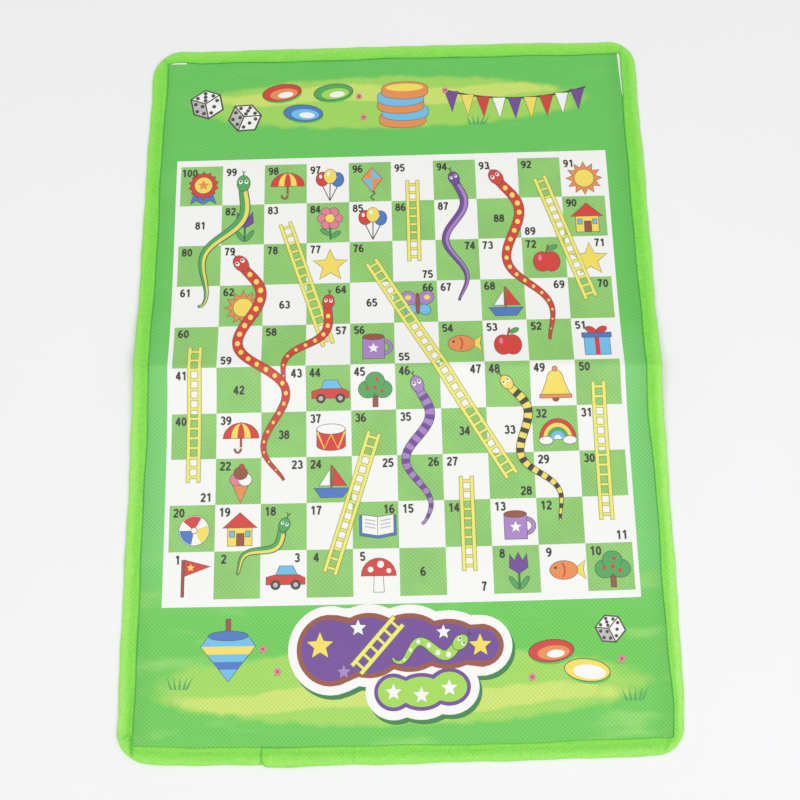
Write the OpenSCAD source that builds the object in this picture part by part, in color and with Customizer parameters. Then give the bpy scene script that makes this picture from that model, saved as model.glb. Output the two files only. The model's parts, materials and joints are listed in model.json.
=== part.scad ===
// Folding cloth game mat with a bound edge, lying open with its crease raised.
// X runs across the mat, Y along it towards the top edge, and Z up from the table.

/* [Mat] */
// Width over the bound edges
mat_w = 225; // [160:1:320]
// Length over the bound edges, as it lies
mat_l = 320; // [240:1:460]
// Radius of the outer corners
corner_r = 13; // [8.5:0.5:20]

/* [Crease] */
// How far the crease lies from mid length, towards the top edge
crease_shift = 2.5; // [-8:0.5:8]
// Height of the raised crease
ridge_h = 5; // [2:0.5:9]
// Length in plan of each slope beside the crease
ridge_run = 36; // [20:1:55]
// Gap between the two halves at the crease
fold_gap = 0.2; // [0.1:0.05:0.5]

/* [Cloth] */
// Thickness of the base cloth
cloth_t = 0.6; // [0.3:0.05:1.2]
// Thickness of the printed film
film_t = 0.12; // [0.05:0.01:0.3]

/* [Binding] */
// Thickness of the binding tape
tape_t = 0.45; // [0.3:0.05:0.9]
// Width of the folded tape, as seen on each face
tape_w = 6.5; // [5:0.5:8]
// Gap between the tape and each face of the cloth
seat_gap = 0.02; // [0:0.01:0.1]

/* [Lapped end] */
// Distance of the cut end from the left edge of the mat
lap_from_left = 58.5; // [30:0.5:90]
// Length of the lap
lap_l = 30; // [15:1:60]
// Corner snipped off the cut end
lap_snip = 2.5; // [0.5:0.5:5]
// Gap between the two layers of tape
lap_gap = 0.03; // [0.01:0.01:0.1]

/* [Stitching] */
// Width of a stitch
thread_w = 0.45; // [0.25:0.05:0.7]
// Thickness of a stitch
thread_t = 0.2; // [0.1:0.02:0.26]
// How deep a needle stitch sinks into the tape
thread_sink = 0.1; // [0.04:0.02:0.16]
// Room on each side of a stitch in its groove
bed_gap = 0.03; // [0.01:0.01:0.1]
// Length from one needle hole to the next
stitch_pitch = 3.5; // [2.5:0.25:5]
// Gap between stitches at a needle hole
stitch_gap = 0.7; // [0.4:0.1:1.2]
// Distance of the seam from the inner edge of the tape
seam_inset = 1.9; // [1:0.1:2]
// Length of the tack across the lap
tack_l = 2.4; // [1.5:0.1:3]
// Distance of the tack from the cut end
tack_in = 3.2; // [2:0.1:6]
// Distance of the tack's middle from the outer edge
tack_from_edge = 3; // [2.6:0.1:3.6]

/* [Hidden] */
// Cuts run this far past the faces they cut
overrun = 1;
print_green = [0.50, 0.81, 0.45];
cloth_white = [0.95, 0.95, 0.94];
tape_lime = [0.55, 0.88, 0.35];
thread_lime = [0.62, 0.90, 0.42];

// The slot in the folded tape holds the cloth and its print
slot_h = cloth_t + film_t + 2 * seat_gap;
edge_t = slot_h + 2 * tape_t;
cloth_z = tape_t + seat_gap;
film_z = cloth_z + cloth_t;

// The cloth stops where the fold of the tape starts to turn
sheet_in = edge_t / 2;
sheet_half_w = mat_w / 2 - sheet_in;
sheet_r = corner_r - sheet_in;

// Each half is measured from the crease to its own end
top_l = mat_l / 2 - crease_shift;
bottom_l = mat_l / 2 + crease_shift;
straight_half_w = mat_w / 2 - corner_r;

// The slopes rise to the crease, and meet the flat panels at a mitre
slope = atan(ridge_h / ridge_run);
slope_l = ridge_run / cos(slope);
mitre = tan(slope / 2);
region_top = ridge_h + edge_t + overrun;

// The seam runs along a shallow groove on both faces of the tape
seam_s = tape_w - seam_inset;
seam_r = corner_r - seam_s;
bed_w = thread_w + 2 * bed_gap;
needle_z = edge_t - thread_sink;

lap_rise = lap_gap + tape_t;
lap_x = lap_from_left - mat_w / 2;

// Places a half that was drawn with its crease at zero and its end towards +Y
module upper_half() translate([0, crease_shift, 0]) children();
module lower_half() translate([0, crease_shift, 0]) mirror([0, 1, 0]) children();
module left_side() mirror([1, 0, 0]) children();

// Extrudes an outline in Y and Z along X, from the middle both ways
module across(width) {
    rotate([90, 0, 90]) linear_extrude(height = width, center = true) children();
}

// Extrudes an outline in X and Z along Y
module along(from_y, to_y) {
    translate([0, to_y, 0]) rotate([90, 0, 0]) linear_extrude(height = to_y - from_y) children();
}

// Turns what lies flat, with zero at the foot of the slope, up along the slope
module on_slope() translate([0, ridge_run, 0]) rotate([-slope, 0, 0]) children();

// The space over the flat panel, up to the mitre
module panel_region(half_l) {
    across(mat_w + 2 * overrun) polygon([
        [ridge_run - overrun * mitre, -overrun],
        [half_l + overrun, -overrun],
        [half_l + overrun, region_top],
        [ridge_run + region_top * mitre, region_top]
    ]);
}

// The space over the slope, from the crease to the mitre
module slope_region() {
    across(mat_w + 2 * overrun) polygon([
        [fold_gap / 2, -overrun],
        [ridge_run - overrun * mitre, -overrun],
        [ridge_run + region_top * mitre, region_top],
        [fold_gap / 2, region_top]
    ]);
}

// Outline of the cloth from the crease to its end, with two round corners
module sheet_outline(half_l) {
    reach = half_l - sheet_in;
    translate([-sheet_half_w, 0]) square([2 * sheet_half_w, reach - sheet_r]);
    translate([sheet_r - sheet_half_w, 0]) square([2 * (sheet_half_w - sheet_r), reach]);
    for (side = [-1, 1])
        translate([side * (sheet_half_w - sheet_r), reach - sheet_r]) circle(r = sheet_r);
}

// One layer of the flat panel
module panel_layer(half_l, z, thick) {
    intersection() {
        translate([0, 0, z]) linear_extrude(height = thick) sheet_outline(half_l);
        panel_region(half_l);
    }
}

// One layer of the slope
module slope_layer(z, thick) {
    intersection() {
        on_slope()
            translate([-sheet_half_w, -slope_l - overrun, z])
                cube([2 * sheet_half_w, slope_l + 2 * overrun, thick]);
        slope_region();
    }
}

// Section of the folded tape: distance in from the outer edge, and height
module tape_section() {
    difference() {
        union() {
            translate([edge_t / 2, 0]) square([tape_w - edge_t / 2, edge_t]);
            translate([edge_t / 2, edge_t / 2]) circle(d = edge_t);
        }
        translate([edge_t / 2, tape_t]) square([tape_w - edge_t / 2 + overrun, slot_h]);
        translate([edge_t / 2, edge_t / 2]) circle(d = slot_h);
        translate([seam_s - bed_w / 2, needle_z]) square([bed_w, thread_sink + overrun]);
        translate([seam_s - bed_w / 2, -overrun]) square([bed_w, thread_t + overrun]);
    }
}

// The section turned so that its outer edge faces away from zero
module facing_out(edge) translate([edge, 0]) mirror([1, 0]) children();

module end_tape(half_l) across(2 * straight_half_w) facing_out(half_l) tape_section();

module corner_tape(half_l) {
    translate([straight_half_w, half_l - corner_r, 0])
        rotate_extrude(angle = 90) facing_out(corner_r) tape_section();
}

module side_tape(half_l) {
    intersection() {
        along(ridge_run - overrun, half_l - corner_r) facing_out(mat_w / 2) tape_section();
        panel_region(half_l);
    }
}

module slope_tape() {
    intersection() {
        on_slope() along(-slope_l - overrun, overrun) facing_out(mat_w / 2) tape_section();
        slope_region();
    }
}

// Section of the lap: over the top of the tape and down round its outer edge
module lap_section() {
    difference() {
        union() {
            translate([edge_t / 2, 0]) square([tape_w - edge_t / 2, edge_t + lap_rise]);
            translate([edge_t / 2, edge_t / 2]) circle(r = edge_t / 2 + lap_rise);
        }
        translate([edge_t / 2, -overrun])
            square([tape_w - edge_t / 2 + overrun, edge_t + lap_gap + overrun]);
        translate([edge_t / 2, edge_t / 2]) circle(r = edge_t / 2 + lap_gap);
        translate([-lap_rise - overrun, -lap_rise - overrun])
            square([tape_w + lap_rise + 2 * overrun, lap_rise + overrun]);
        translate([seam_s - bed_w / 2, needle_z + lap_rise])
            square([bed_w, thread_sink + overrun]);
    }
}

// The lap with the outer corner of its cut end snipped off
module lap(half_l) {
    outer = half_l + lap_rise;
    difference() {
        translate([lap_x + lap_l / 2, 0, 0]) across(lap_l) facing_out(half_l) lap_section();
        translate([0, 0, -overrun])
            linear_extrude(height = edge_t + lap_rise + 2 * overrun) polygon([
                [lap_x - overrun, outer - lap_snip - overrun],
                [lap_x - overrun, outer + overrun],
                [lap_x + lap_snip + overrun, outer + overrun]
            ]);
    }
}

// One straight stitch along Y with round ends
module stitch(stitch_l) {
    straight = stitch_l - thread_w;
    linear_extrude(height = thread_t) {
        square([thread_w, straight], center = true);
        for (end = [-1, 1]) translate([0, end * straight / 2]) circle(d = thread_w);
    }
}

function stitch_count(seam_l) = max(1, floor(seam_l / stitch_pitch));

// A row of stitches along Y, spaced to fill the length
module stitch_row(from_y, to_y) {
    count = stitch_count(to_y - from_y);
    pitch = (to_y - from_y) / count;
    for (i = [0 : count - 1])
        translate([0, from_y + (i + 1 / 2) * pitch, 0]) stitch(pitch - stitch_gap);
}

// The stitches round one corner, each an arc
module corner_stitches(half_l) {
    arc_l = seam_r * PI / 2;
    count = stitch_count(arc_l);
    step = 90 / count;
    sweep = step * (1 - stitch_gap * count / arc_l);
    translate([straight_half_w, half_l - corner_r, 0])
        for (i = [0 : count - 1])
            rotate([0, 0, (i + 1 / 2) * step - sweep / 2])
                rotate_extrude(angle = sweep)
                    translate([seam_r - thread_w / 2, 0]) square([thread_w, thread_t]);
}

// The stitches down one side, from the end's corner to the crease
module side_stitches(half_l, z) {
    translate([0, 0, z]) corner_stitches(half_l);
    translate([mat_w / 2 - seam_s, 0, z]) stitch_row(ridge_run, half_l - corner_r);
    on_slope() translate([mat_w / 2 - seam_s, 0, z]) stitch_row(-slope_l, 0);
}

// The stitches along the end, between two places on X
module end_stitches(half_l, z, from_x, to_x) {
    translate([0, half_l - seam_s, z]) rotate([0, 0, -90]) stitch_row(from_x, to_x);
}

module half_stitches(half_l, z) {
    side_stitches(half_l, z);
    left_side() side_stitches(half_l, z);
}

// Lower half, from the crease to the bottom edge
module lower_cloth() color(cloth_white) lower_half() panel_layer(bottom_l, cloth_z, cloth_t);
module lower_ridge_cloth() color(cloth_white) lower_half() slope_layer(cloth_z, cloth_t);
module lower_print() color(print_green) lower_half() panel_layer(bottom_l, film_z, film_t);
module lower_ridge_print() color(print_green) lower_half() slope_layer(film_z, film_t);
module bottom_binding() color(tape_lime) lower_half() end_tape(bottom_l);
module bottom_left_corner_binding() color(tape_lime) lower_half() left_side() corner_tape(bottom_l);
module bottom_right_corner_binding() color(tape_lime) lower_half() corner_tape(bottom_l);
module lower_left_binding() color(tape_lime) lower_half() left_side() side_tape(bottom_l);
module lower_right_binding() color(tape_lime) lower_half() side_tape(bottom_l);
module lower_left_ridge_binding() color(tape_lime) lower_half() left_side() slope_tape();
module lower_right_ridge_binding() color(tape_lime) lower_half() slope_tape();
module binding_lap() color(tape_lime) lower_half() lap(bottom_l);

module lap_tack() {
    color(thread_lime) lower_half()
        translate([lap_x + tack_in, bottom_l - tack_from_edge, edge_t + lap_rise]) stitch(tack_l);
}

module lower_needle_stitches() {
    color(thread_lime) lower_half() {
        half_stitches(bottom_l, needle_z);
        end_stitches(bottom_l, needle_z, -straight_half_w, lap_x);
        end_stitches(bottom_l, needle_z + lap_rise, lap_x, lap_x + lap_l);
        end_stitches(bottom_l, needle_z, lap_x + lap_l, straight_half_w);
    }
}

module lower_bobbin_stitches() {
    color(thread_lime) lower_half() {
        half_stitches(bottom_l, 0);
        end_stitches(bottom_l, 0, -straight_half_w, straight_half_w);
    }
}

// Upper half, from the crease to the top edge
module upper_cloth() color(cloth_white) upper_half() panel_layer(top_l, cloth_z, cloth_t);
module upper_ridge_cloth() color(cloth_white) upper_half() slope_layer(cloth_z, cloth_t);
module upper_print() color(print_green) upper_half() panel_layer(top_l, film_z, film_t);
module upper_ridge_print() color(print_green) upper_half() slope_layer(film_z, film_t);
module top_binding() color(tape_lime) upper_half() end_tape(top_l);
module top_left_corner_binding() color(tape_lime) upper_half() left_side() corner_tape(top_l);
module top_right_corner_binding() color(tape_lime) upper_half() corner_tape(top_l);
module upper_left_binding() color(tape_lime) upper_half() left_side() side_tape(top_l);
module upper_right_binding() color(tape_lime) upper_half() side_tape(top_l);
module upper_left_ridge_binding() color(tape_lime) upper_half() left_side() slope_tape();
module upper_right_ridge_binding() color(tape_lime) upper_half() slope_tape();

module upper_needle_stitches() {
    color(thread_lime) upper_half() {
        half_stitches(top_l, needle_z);
        end_stitches(top_l, needle_z, -straight_half_w, straight_half_w);
    }
}

module upper_bobbin_stitches() {
    color(thread_lime) upper_half() {
        half_stitches(top_l, 0);
        end_stitches(top_l, 0, -straight_half_w, straight_half_w);
    }
}

lower_cloth();
lower_ridge_cloth();
lower_print();
lower_ridge_print();
bottom_binding();
bottom_left_corner_binding();
bottom_right_corner_binding();
lower_left_binding();
lower_right_binding();
lower_left_ridge_binding();
lower_right_ridge_binding();
binding_lap();
lap_tack();
lower_needle_stitches();
lower_bobbin_stitches();
upper_cloth();
upper_ridge_cloth();
upper_print();
upper_ridge_print();
top_binding();
top_left_corner_binding();
top_right_corner_binding();
upper_left_binding();
upper_right_binding();
upper_left_ridge_binding();
upper_right_ridge_binding();
upper_needle_stitches();
upper_bobbin_stitches();
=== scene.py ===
"""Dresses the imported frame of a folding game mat: printed face, cloth, sewn binding, thread and inks."""

import json
import math

import bmesh
import bpy
import numpy as np
from bpy.props import FloatProperty, FloatVectorProperty, PointerProperty
from bpy.types import Operator, Panel, PropertyGroup
from mathutils import Matrix, Vector

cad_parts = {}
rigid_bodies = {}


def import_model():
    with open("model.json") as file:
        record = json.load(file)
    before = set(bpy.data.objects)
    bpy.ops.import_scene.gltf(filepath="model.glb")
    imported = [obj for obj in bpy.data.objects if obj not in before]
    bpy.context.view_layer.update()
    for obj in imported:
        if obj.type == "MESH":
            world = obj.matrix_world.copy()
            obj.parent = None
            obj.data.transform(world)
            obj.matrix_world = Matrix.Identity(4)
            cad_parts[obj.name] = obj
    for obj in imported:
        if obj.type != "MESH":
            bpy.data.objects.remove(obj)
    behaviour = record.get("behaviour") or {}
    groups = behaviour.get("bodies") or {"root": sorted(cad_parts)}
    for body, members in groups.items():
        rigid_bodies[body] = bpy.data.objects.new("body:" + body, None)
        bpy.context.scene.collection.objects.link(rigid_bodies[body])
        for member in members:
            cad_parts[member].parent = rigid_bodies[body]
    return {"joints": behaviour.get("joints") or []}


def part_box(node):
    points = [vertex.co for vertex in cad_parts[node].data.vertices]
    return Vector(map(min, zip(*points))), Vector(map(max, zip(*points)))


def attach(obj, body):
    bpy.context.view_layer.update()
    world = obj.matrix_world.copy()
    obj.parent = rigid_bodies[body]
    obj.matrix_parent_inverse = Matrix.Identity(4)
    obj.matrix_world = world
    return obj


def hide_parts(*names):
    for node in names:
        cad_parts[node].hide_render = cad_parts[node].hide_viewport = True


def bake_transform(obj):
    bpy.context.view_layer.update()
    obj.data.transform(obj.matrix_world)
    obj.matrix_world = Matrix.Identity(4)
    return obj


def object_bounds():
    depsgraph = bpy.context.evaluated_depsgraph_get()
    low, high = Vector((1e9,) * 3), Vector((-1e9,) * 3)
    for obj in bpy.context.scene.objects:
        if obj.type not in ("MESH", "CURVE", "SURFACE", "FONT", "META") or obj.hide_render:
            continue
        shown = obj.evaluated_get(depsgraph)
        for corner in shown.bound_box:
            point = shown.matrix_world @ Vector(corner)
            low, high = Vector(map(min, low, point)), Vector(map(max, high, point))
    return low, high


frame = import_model()
CAD_LOW, CAD_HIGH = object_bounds()

bl_info = {
    "name": "Snakes and ladders mat",
    "version": (1, 0, 0),
    "blender": (4, 5, 0),
    "location": "View3D > Sidebar > Game mat",
    "description": "Printed face, base cloth, sewn binding, thread and inks of a folding game mat",
    "category": "Add Mesh",
}

# Sizes read from the solids, in metres
TAPE_LOW, TAPE_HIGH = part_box("top_binding")
FILM_LOW, FILM_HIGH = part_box("upper_print")
CLOTH_LOW, CLOTH_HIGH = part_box("upper_cloth")
CORNER_LOW, CORNER_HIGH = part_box("top_right_corner_binding")
LAP_LOW, LAP_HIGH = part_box("binding_lap")
TACK_LOW, TACK_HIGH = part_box("lap_tack")
NEEDLE_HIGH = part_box("upper_needle_stitches")[1]
HALF_W = CORNER_HIGH.x
HALF_L = TAPE_HIGH.y
CORNER_R = CORNER_HIGH.x - CORNER_LOW.x
EDGE_T = TAPE_HIGH.z
TAPE_W = TAPE_HIGH.y - TAPE_LOW.y
TAPE_T = CLOTH_LOW.z
FILM_TOP = FILM_HIGH.z
FILM_T = FILM_HIGH.z - FILM_LOW.z
CLOTH_TOP = CLOTH_HIGH.z
CLOTH_T = CLOTH_HIGH.z - CLOTH_LOW.z
SHEET_INSET = HALF_W - CLOTH_HIGH.x
CREASE_Y = frame["joints"][0]["pos_m"][1]
RIDGE_H = CAD_HIGH.z - EDGE_T
LOWER = "lower_half"
TURN = 2.0 * math.pi
MM_PER_M = 1000.0

# Width of a stitch, and how far the seam lies from the tape's cut edge
THREAD_W = 0.00045
SEAM_INSET = TAPE_W - (HALF_L - NEEDLE_HIGH.y + THREAD_W / 2)

# Shape of the crest, of the rows round the crease, and of the strip that bridges the two halves there
CREST_ROUND = 0.0008
CREST_SHIFT = 0.0009
FINE_STEP = 0.00025
FINE_REACH = 0.005
ROW_CROWDING = 2.2
BRIDGE = 0.00005
CLOTH_BRIDGE = 0.0002
TAPE_TUCK = 0.0004

# Notch in the sheets under the tape at the hinge line: its depth, where it is full, and how it eases out
FOLD_NOTCH = 0.0044
NOTCH_FULL = 0.0009
NOTCH_EASE = 0.002

# Points across and rows up each half of the two sheets, and the film's share of its solid's thickness
FILM_GRID = (97, 110)
CLOTH_GRID = (65, 70)
FILM_SHARE = 0.92

# Slow waves in the bound edges: how far in they reach, their lengths, and the sway of the first ones
EDGE_BAND = 0.011
WAVE_ALONG = 0.047
WAVE_ACROSS = 0.061
WAVE_SWAY = 0.09

# Heights of the inks over the film
INK_BASE = 0.000015
INK_STEP = 0.000007
INK_T = 0.000004

# Distances from the crease at which the inks are cut, so that they bend with the film
INK_CUTS = np.concatenate([np.arange(0.0, 0.0056, 0.0005), np.arange(0.0065, 0.05, 0.0025)])

# Radii of the mat's outer corners as sewn: bottom right, top right, top left, bottom left
CORNER_RADII = (0.0106, 0.0127, 0.0137, 0.0123)

# In the same order, how far each corner stands off the table, in shares of the lift, and how far in it goes
CORNER_LIFTS = (0.4, 0.3, 0.3, 1.0)
CORNER_REACH = (0.024, 0.024, 0.024, 0.037)

# Where the tape's lapped end is cut, and where it runs out over the tape
LAP_CUT = LAP_LOW.x - 0.0008
LAP_END = LAP_HIGH.x + 0.006

# Camera, as fitted to the mat's four corners in an 800 by 800 picture
LENS = 51.75
SENSOR = 36.0
CLIP_START = 0.01
CAMERA_AZIMUTH = -4.08
CAMERA_ELEVATION = 73.85
CAMERA_ROLL = -5.13
CAMERA_DISTANCE = 0.4918
CAMERA_TARGET = (0.00141, -0.01207, 0.0)

# Strength of the room's light, and of the room where it is seen
ROOM_LIGHT = 0.445
ROOM_SEEN = 0.87

# Lamps: name, place, diameter and power
LAMPS = (
    ("key_light", (0.44, -0.52, 1.3), 1.0, 9.2),
    ("fill_light", (-0.5, -0.05, 1.4), 1.0, 5.9),
)

# Floor: half its side, points along a side, height, where it fades out, and its two tones
FLOOR_HALF = 1.5
FLOOR_POINTS = 13
FLOOR_Z = -0.0001
FLOOR_FADE = (0.5, 1.3)
FLOOR_TONES = ((241, 240, 242), (244, 243, 245))


def linear(red, green, blue):
    """A colour written as 0 to 255 screen values, as linear light."""
    share = np.array([red, green, blue]) / 255.0
    return tuple(np.where(share <= 0.04045, share / 12.92, ((share + 0.055) / 1.055) ** 2.4).tolist())


def length(name, description, default):
    """A length property in metres."""
    return FloatProperty(name=name, description=description, default=default, min=0.0, unit="LENGTH")


def tint(name, description, red, green, blue):
    """A colour property, written in screen values."""
    return FloatVectorProperty(
        name=name, description=description, subtype="COLOR", size=3, min=0.0, max=1.0,
        default=linear(red, green, blue),
    )


class MatSizes(PropertyGroup):
    """Sizes of the mat that a maker would change."""

    ridge_height: length("Ridge height", "How high the crease stands over the flat of the mat", RIDGE_H)
    ridge_fall: length("Ridge fall", "Distance from the crease in which the ridge falls to 37%", 0.021)
    crease_skew: FloatProperty(
        name="Crease skew", description="Turn of the crease from square to the mat",
        default=math.radians(1.1), subtype="ANGLE",
    )
    edge_ripple: length("Edge ripple", "Height of the slow waves along the edges", 0.00022)
    corner_lift: length("Corner lift", "How far the bottom left corner stands off the table", 0.0012)
    shear: length("Shear", "How far the top edge is drawn to the right", 0.0006)
    bottom_turn: length("Bottom turn", "How far the bottom edge's right end is drawn up", 0.00175)
    corner_draw: length("Corner draw", "How far the bottom left corner is drawn up", 0.0014)
    top_sag: length("Top sag", "How far the top edge sags by its right end", 0.0008)
    top_draw: length("Top draw", "How far the whole top edge is drawn down", 0.0005)
    side_draw: length("Side draw", "How far the sides are drawn in by the corners", 0.0009)
    tape_width: length("Tape width", "Width of the folded binding on the face", TAPE_W)
    tape_puff: length("Tape puff", "How far the tape swells between seam and fold", 0.00034)
    seam_inset: length("Seam inset", "Distance of the seam from the tape's cut edge", SEAM_INSET)
    stitch_pitch: length("Stitch pitch", "Distance from one stitch to the next", 0.0035)
    stitch_gap: length("Stitch gap", "Bare tape between two stitches", 0.0007)
    thread_width: length("Thread width", "Width of a stitch", THREAD_W)
    dot_across: length("Dot pitch across", "Bond dot pitch across the mat", 0.00177)
    dot_along: length("Dot pitch along", "Bond dot pitch along the mat", 0.00174)
    dot_size: length("Dot size", "Diameter of a bond dot", 0.0009)
    square_width: length("Square width", "Width of a printed square", 0.01908)
    square_height: length("Square height", "Height of a printed square", 0.01955)
    panel_width: length("Panel width", "Width of the white panel behind the squares", 0.1948)
    panel_height: length("Panel height", "Height of the white panel behind the squares", 0.2016)
    print_shift: length("Print shift", "How far up the mat the print sits", 0.0024)
    print_left: length("Print shift left", "How far to the left the print sits", 0.0004)
    print_turn: FloatProperty(
        name="Print turn", description="Turn of the print on the cloth",
        default=math.radians(0.1), subtype="ANGLE",
    )
    print_lean: FloatProperty(
        name="Print lean", description="How far the print's upright lines lean to the left",
        default=math.radians(0.55), subtype="ANGLE",
    )
    number_height: length("Number height", "Height of a printed number", 0.0037)


class MatColours(PropertyGroup):
    """Colours of the mat's cloth, tape, thread and inks."""

    tape: tint("Tape", "Binding tape", 135, 223, 72)
    tape_deep: tint("Tape deep", "Binding tape in its drawn streaks", 113, 218, 53)
    # Painted highlight on the tape along its outer fold
    tape_fold: tint("Tape fold", "Binding tape along its outer fold", 167, 237, 107)
    # Painted shade on the tape: seam groove, cut edge, creases, lap's end and its inner side
    tape_edge: tint("Tape edge", "Binding tape where the seam presses it", 68, 184, 50)
    thread: tint("Thread", "Sewing thread", 146, 228, 92)
    tack: tint("Tack", "Thread of the tack by the lapped end", 216, 247, 186)
    cloth: tint("Cloth", "White base cloth", 240, 240, 238)
    white: tint("White", "White of the print", 242, 242, 240)
    square: tint("Square", "Green of the squares", 138, 198, 103)
    border: tint("Border", "Green of the border", 115, 205, 107)
    border_deep: tint("Deep border", "Border green of the upper half", 95, 193, 80)
    border_low: tint("Low border", "Border green along the bottom", 98, 197, 69)
    border_pale: tint("Pale border", "Pale streaks in the border", 150, 217, 106)
    lime: tint("Lime", "Lime of the meadow bands", 160, 213, 84)
    yellow: tint("Yellow", "Yellow crest of the meadow bands", 206, 225, 106)
    number: tint("Number", "Number ink", 60, 62, 58)
    line: tint("Line", "Dark outline ink", 74, 68, 60)
    ladder: tint("Ladder", "Ladder ink", 236, 231, 116)
    ladder_line: tint("Ladder line", "Ladder outline ink", 158, 154, 66)
    red: tint("Red", "Red ink", 208, 66, 58)
    orange: tint("Orange", "Orange ink", 228, 142, 84)
    gold: tint("Gold", "Gold ink", 240, 218, 98)
    leaf: tint("Leaf", "Leaf green ink", 82, 164, 92)
    moss: tint("Moss", "Dark green ink", 58, 126, 70)
    sky: tint("Sky", "Light blue ink", 112, 188, 228)
    blue: tint("Blue", "Blue ink", 76, 120, 190)
    purple: tint("Purple", "Purple ink", 112, 74, 150)
    lilac: tint("Lilac", "Lilac ink", 168, 132, 194)
    pink: tint("Pink", "Pink ink", 224, 128, 148)
    brown: tint("Brown", "Brown ink", 148, 84, 66)
    grey: tint("Grey", "Grey ink", 186, 186, 186)


INKS = (
    "white", "number", "line", "ladder", "ladder_line", "red", "orange", "gold", "leaf", "moss", "sky",
    "blue", "purple", "lilac", "pink", "brown", "grey", "lime", "yellow", "border_deep",
)


def sizes():
    return bpy.context.scene.mat_sizes


def colours():
    return bpy.context.scene.mat_colours


# Shader sums


class Value:
    """A shader socket that Python sums take, each sum adding one Math node."""

    def __init__(self, finish, socket):
        self.finish = finish
        self.socket = socket

    def out(self, index):
        """Another output of the same node."""
        return Value(self.finish, self.socket.node.outputs[index])

    def __add__(self, other):
        return self.finish.math("ADD", self, other)

    def __radd__(self, other):
        return self.finish.math("ADD", other, self)

    def __sub__(self, other):
        return self.finish.math("SUBTRACT", self, other)

    def __rsub__(self, other):
        return self.finish.math("SUBTRACT", other, self)

    def __mul__(self, other):
        return self.finish.math("MULTIPLY", self, other)

    def __truediv__(self, other):
        return self.finish.math("DIVIDE", self, other)


class Finish:
    """One material, or the world, and its nodes."""

    def __init__(self, name, kind=None):
        self.material = (bpy.data.materials if kind is None else kind).new(name)
        self.material.use_nodes = True
        self.tree = self.material.node_tree
        self.tree.nodes.clear()

    def node(self, kind, settings=None, inputs=None, output=0):
        """Any node: its settings first, then values or links for its sockets."""
        made = self.tree.nodes.new(kind)
        for key, value in (settings or {}).items():
            setattr(made, key, value)
        for key, value in (inputs or {}).items():
            if isinstance(value, Value):
                self.tree.links.new(value.socket, made.inputs[key])
            else:
                made.inputs[key].default_value = value
        return Value(self, made.outputs[output])

    def math(self, operation, *values):
        return self.node("ShaderNodeMath", {"operation": operation}, dict(enumerate(values)))

    def ramp(self, value, low, high):
        """0 below low, 1 above high, and a smooth step between."""
        span = {"Value": value, "From Min": low, "From Max": high}
        return self.node("ShaderNodeMapRange", {"interpolation_type": "SMOOTHSTEP"}, span)

    def mix(self, share, first, second, way="MIX"):
        """Two colours mixed by a share."""
        first = first if isinstance(first, Value) else (*first, 1.0)
        second = second if isinstance(second, Value) else (*second, 1.0)
        settings = {"data_type": "RGBA", "blend_type": way}
        return self.node("ShaderNodeMix", settings, {0: share, 6: first, 7: second}, 2)

    def toned(self, colour, shade):
        """A colour made lighter or darker by a shade."""
        grey = self.node("ShaderNodeCombineXYZ", None, {0: shade, 1: shade, 2: shade})
        return self.mix(1.0, colour, grey, "MULTIPLY")

    def noise(self, place, scale, detail):
        inputs = {"Vector": place, "Scale": scale, "Detail": detail}
        return self.node("ShaderNodeTexNoise", None, inputs)

    def axes(self, place):
        """A place's x, from which out(1) and out(2) give its y and z."""
        return self.node("ShaderNodeSeparateXYZ", None, {0: place})

    def millimetres(self, place):
        return self.node("ShaderNodeVectorMath", {"operation": "SCALE"}, {0: place, "Scale": MM_PER_M})

    def flat_place(self):
        """Place on the cloth before it was laid out, from the piece's own attribute."""
        settings = {"attribute_name": "Flat", "attribute_type": "GEOMETRY"}
        return self.node("ShaderNodeAttribute", settings, None, 1)

    def object_place(self):
        return self.node("ShaderNodeTexCoord", None, None, 3)

    def bump(self, height, depth, strength):
        inputs = {"Height": height, "Distance": depth, "Strength": strength}
        return self.node("ShaderNodeBump", None, inputs)

    def surface(self, **inputs):
        """The Principled shader and the output; names use _ for a space."""
        named = {key.replace("_", " "): value for key, value in inputs.items()}
        shader = self.node("ShaderNodeBsdfPrincipled", None, named)
        self.node_output(shader)
        return self.material

    def node_output(self, shader, kind="ShaderNodeOutputMaterial"):
        made = self.tree.nodes.new(kind)
        self.tree.links.new(shader.socket, made.inputs["Surface"])


def bond_dots(finish, place):
    """Round dots on two rectangular lattices, one half a pitch off the other: 1 in a dot, 0 between."""
    s = sizes()
    x = finish.axes(place)
    half_x = s.dot_across / 2
    half_y = s.dot_along / 2
    near_x = finish.math("PINGPONG", x, half_x)
    near_y = finish.math("PINGPONG", x.out(1), half_y)
    far_x = half_x - near_x
    far_y = half_y - near_y
    first = near_x * near_x + near_y * near_y
    second = far_x * far_x + far_y * far_y
    away = finish.math("SQRT", finish.math("MINIMUM", first, second))
    return 1.0 - finish.ramp(away, s.dot_size * 0.15, s.dot_size * 0.75)


def lens(x, y, middle, reach):
    """1 at the middle of a long oval, 0 on its outline and less outside it."""
    across = (x - middle[0]) / reach[0]
    along = (y - middle[1]) / reach[1]
    return 1.0 - across * across - along * along


# Depth and strength of the bond dots' bump in the film and its inks
DOT_DEPTH = 0.00008
DOT_STRENGTH = 0.45

# Painted meadow bands on the border, in mm: middle, reach, and how far the yellow crest is off the middle
MEADOWS = (
    ((-1.0, 128.5), (96.0, 14.5), 4.2),
    ((-2.0, -133.5), (105.0, 16.0), -4.6),
)


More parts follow.
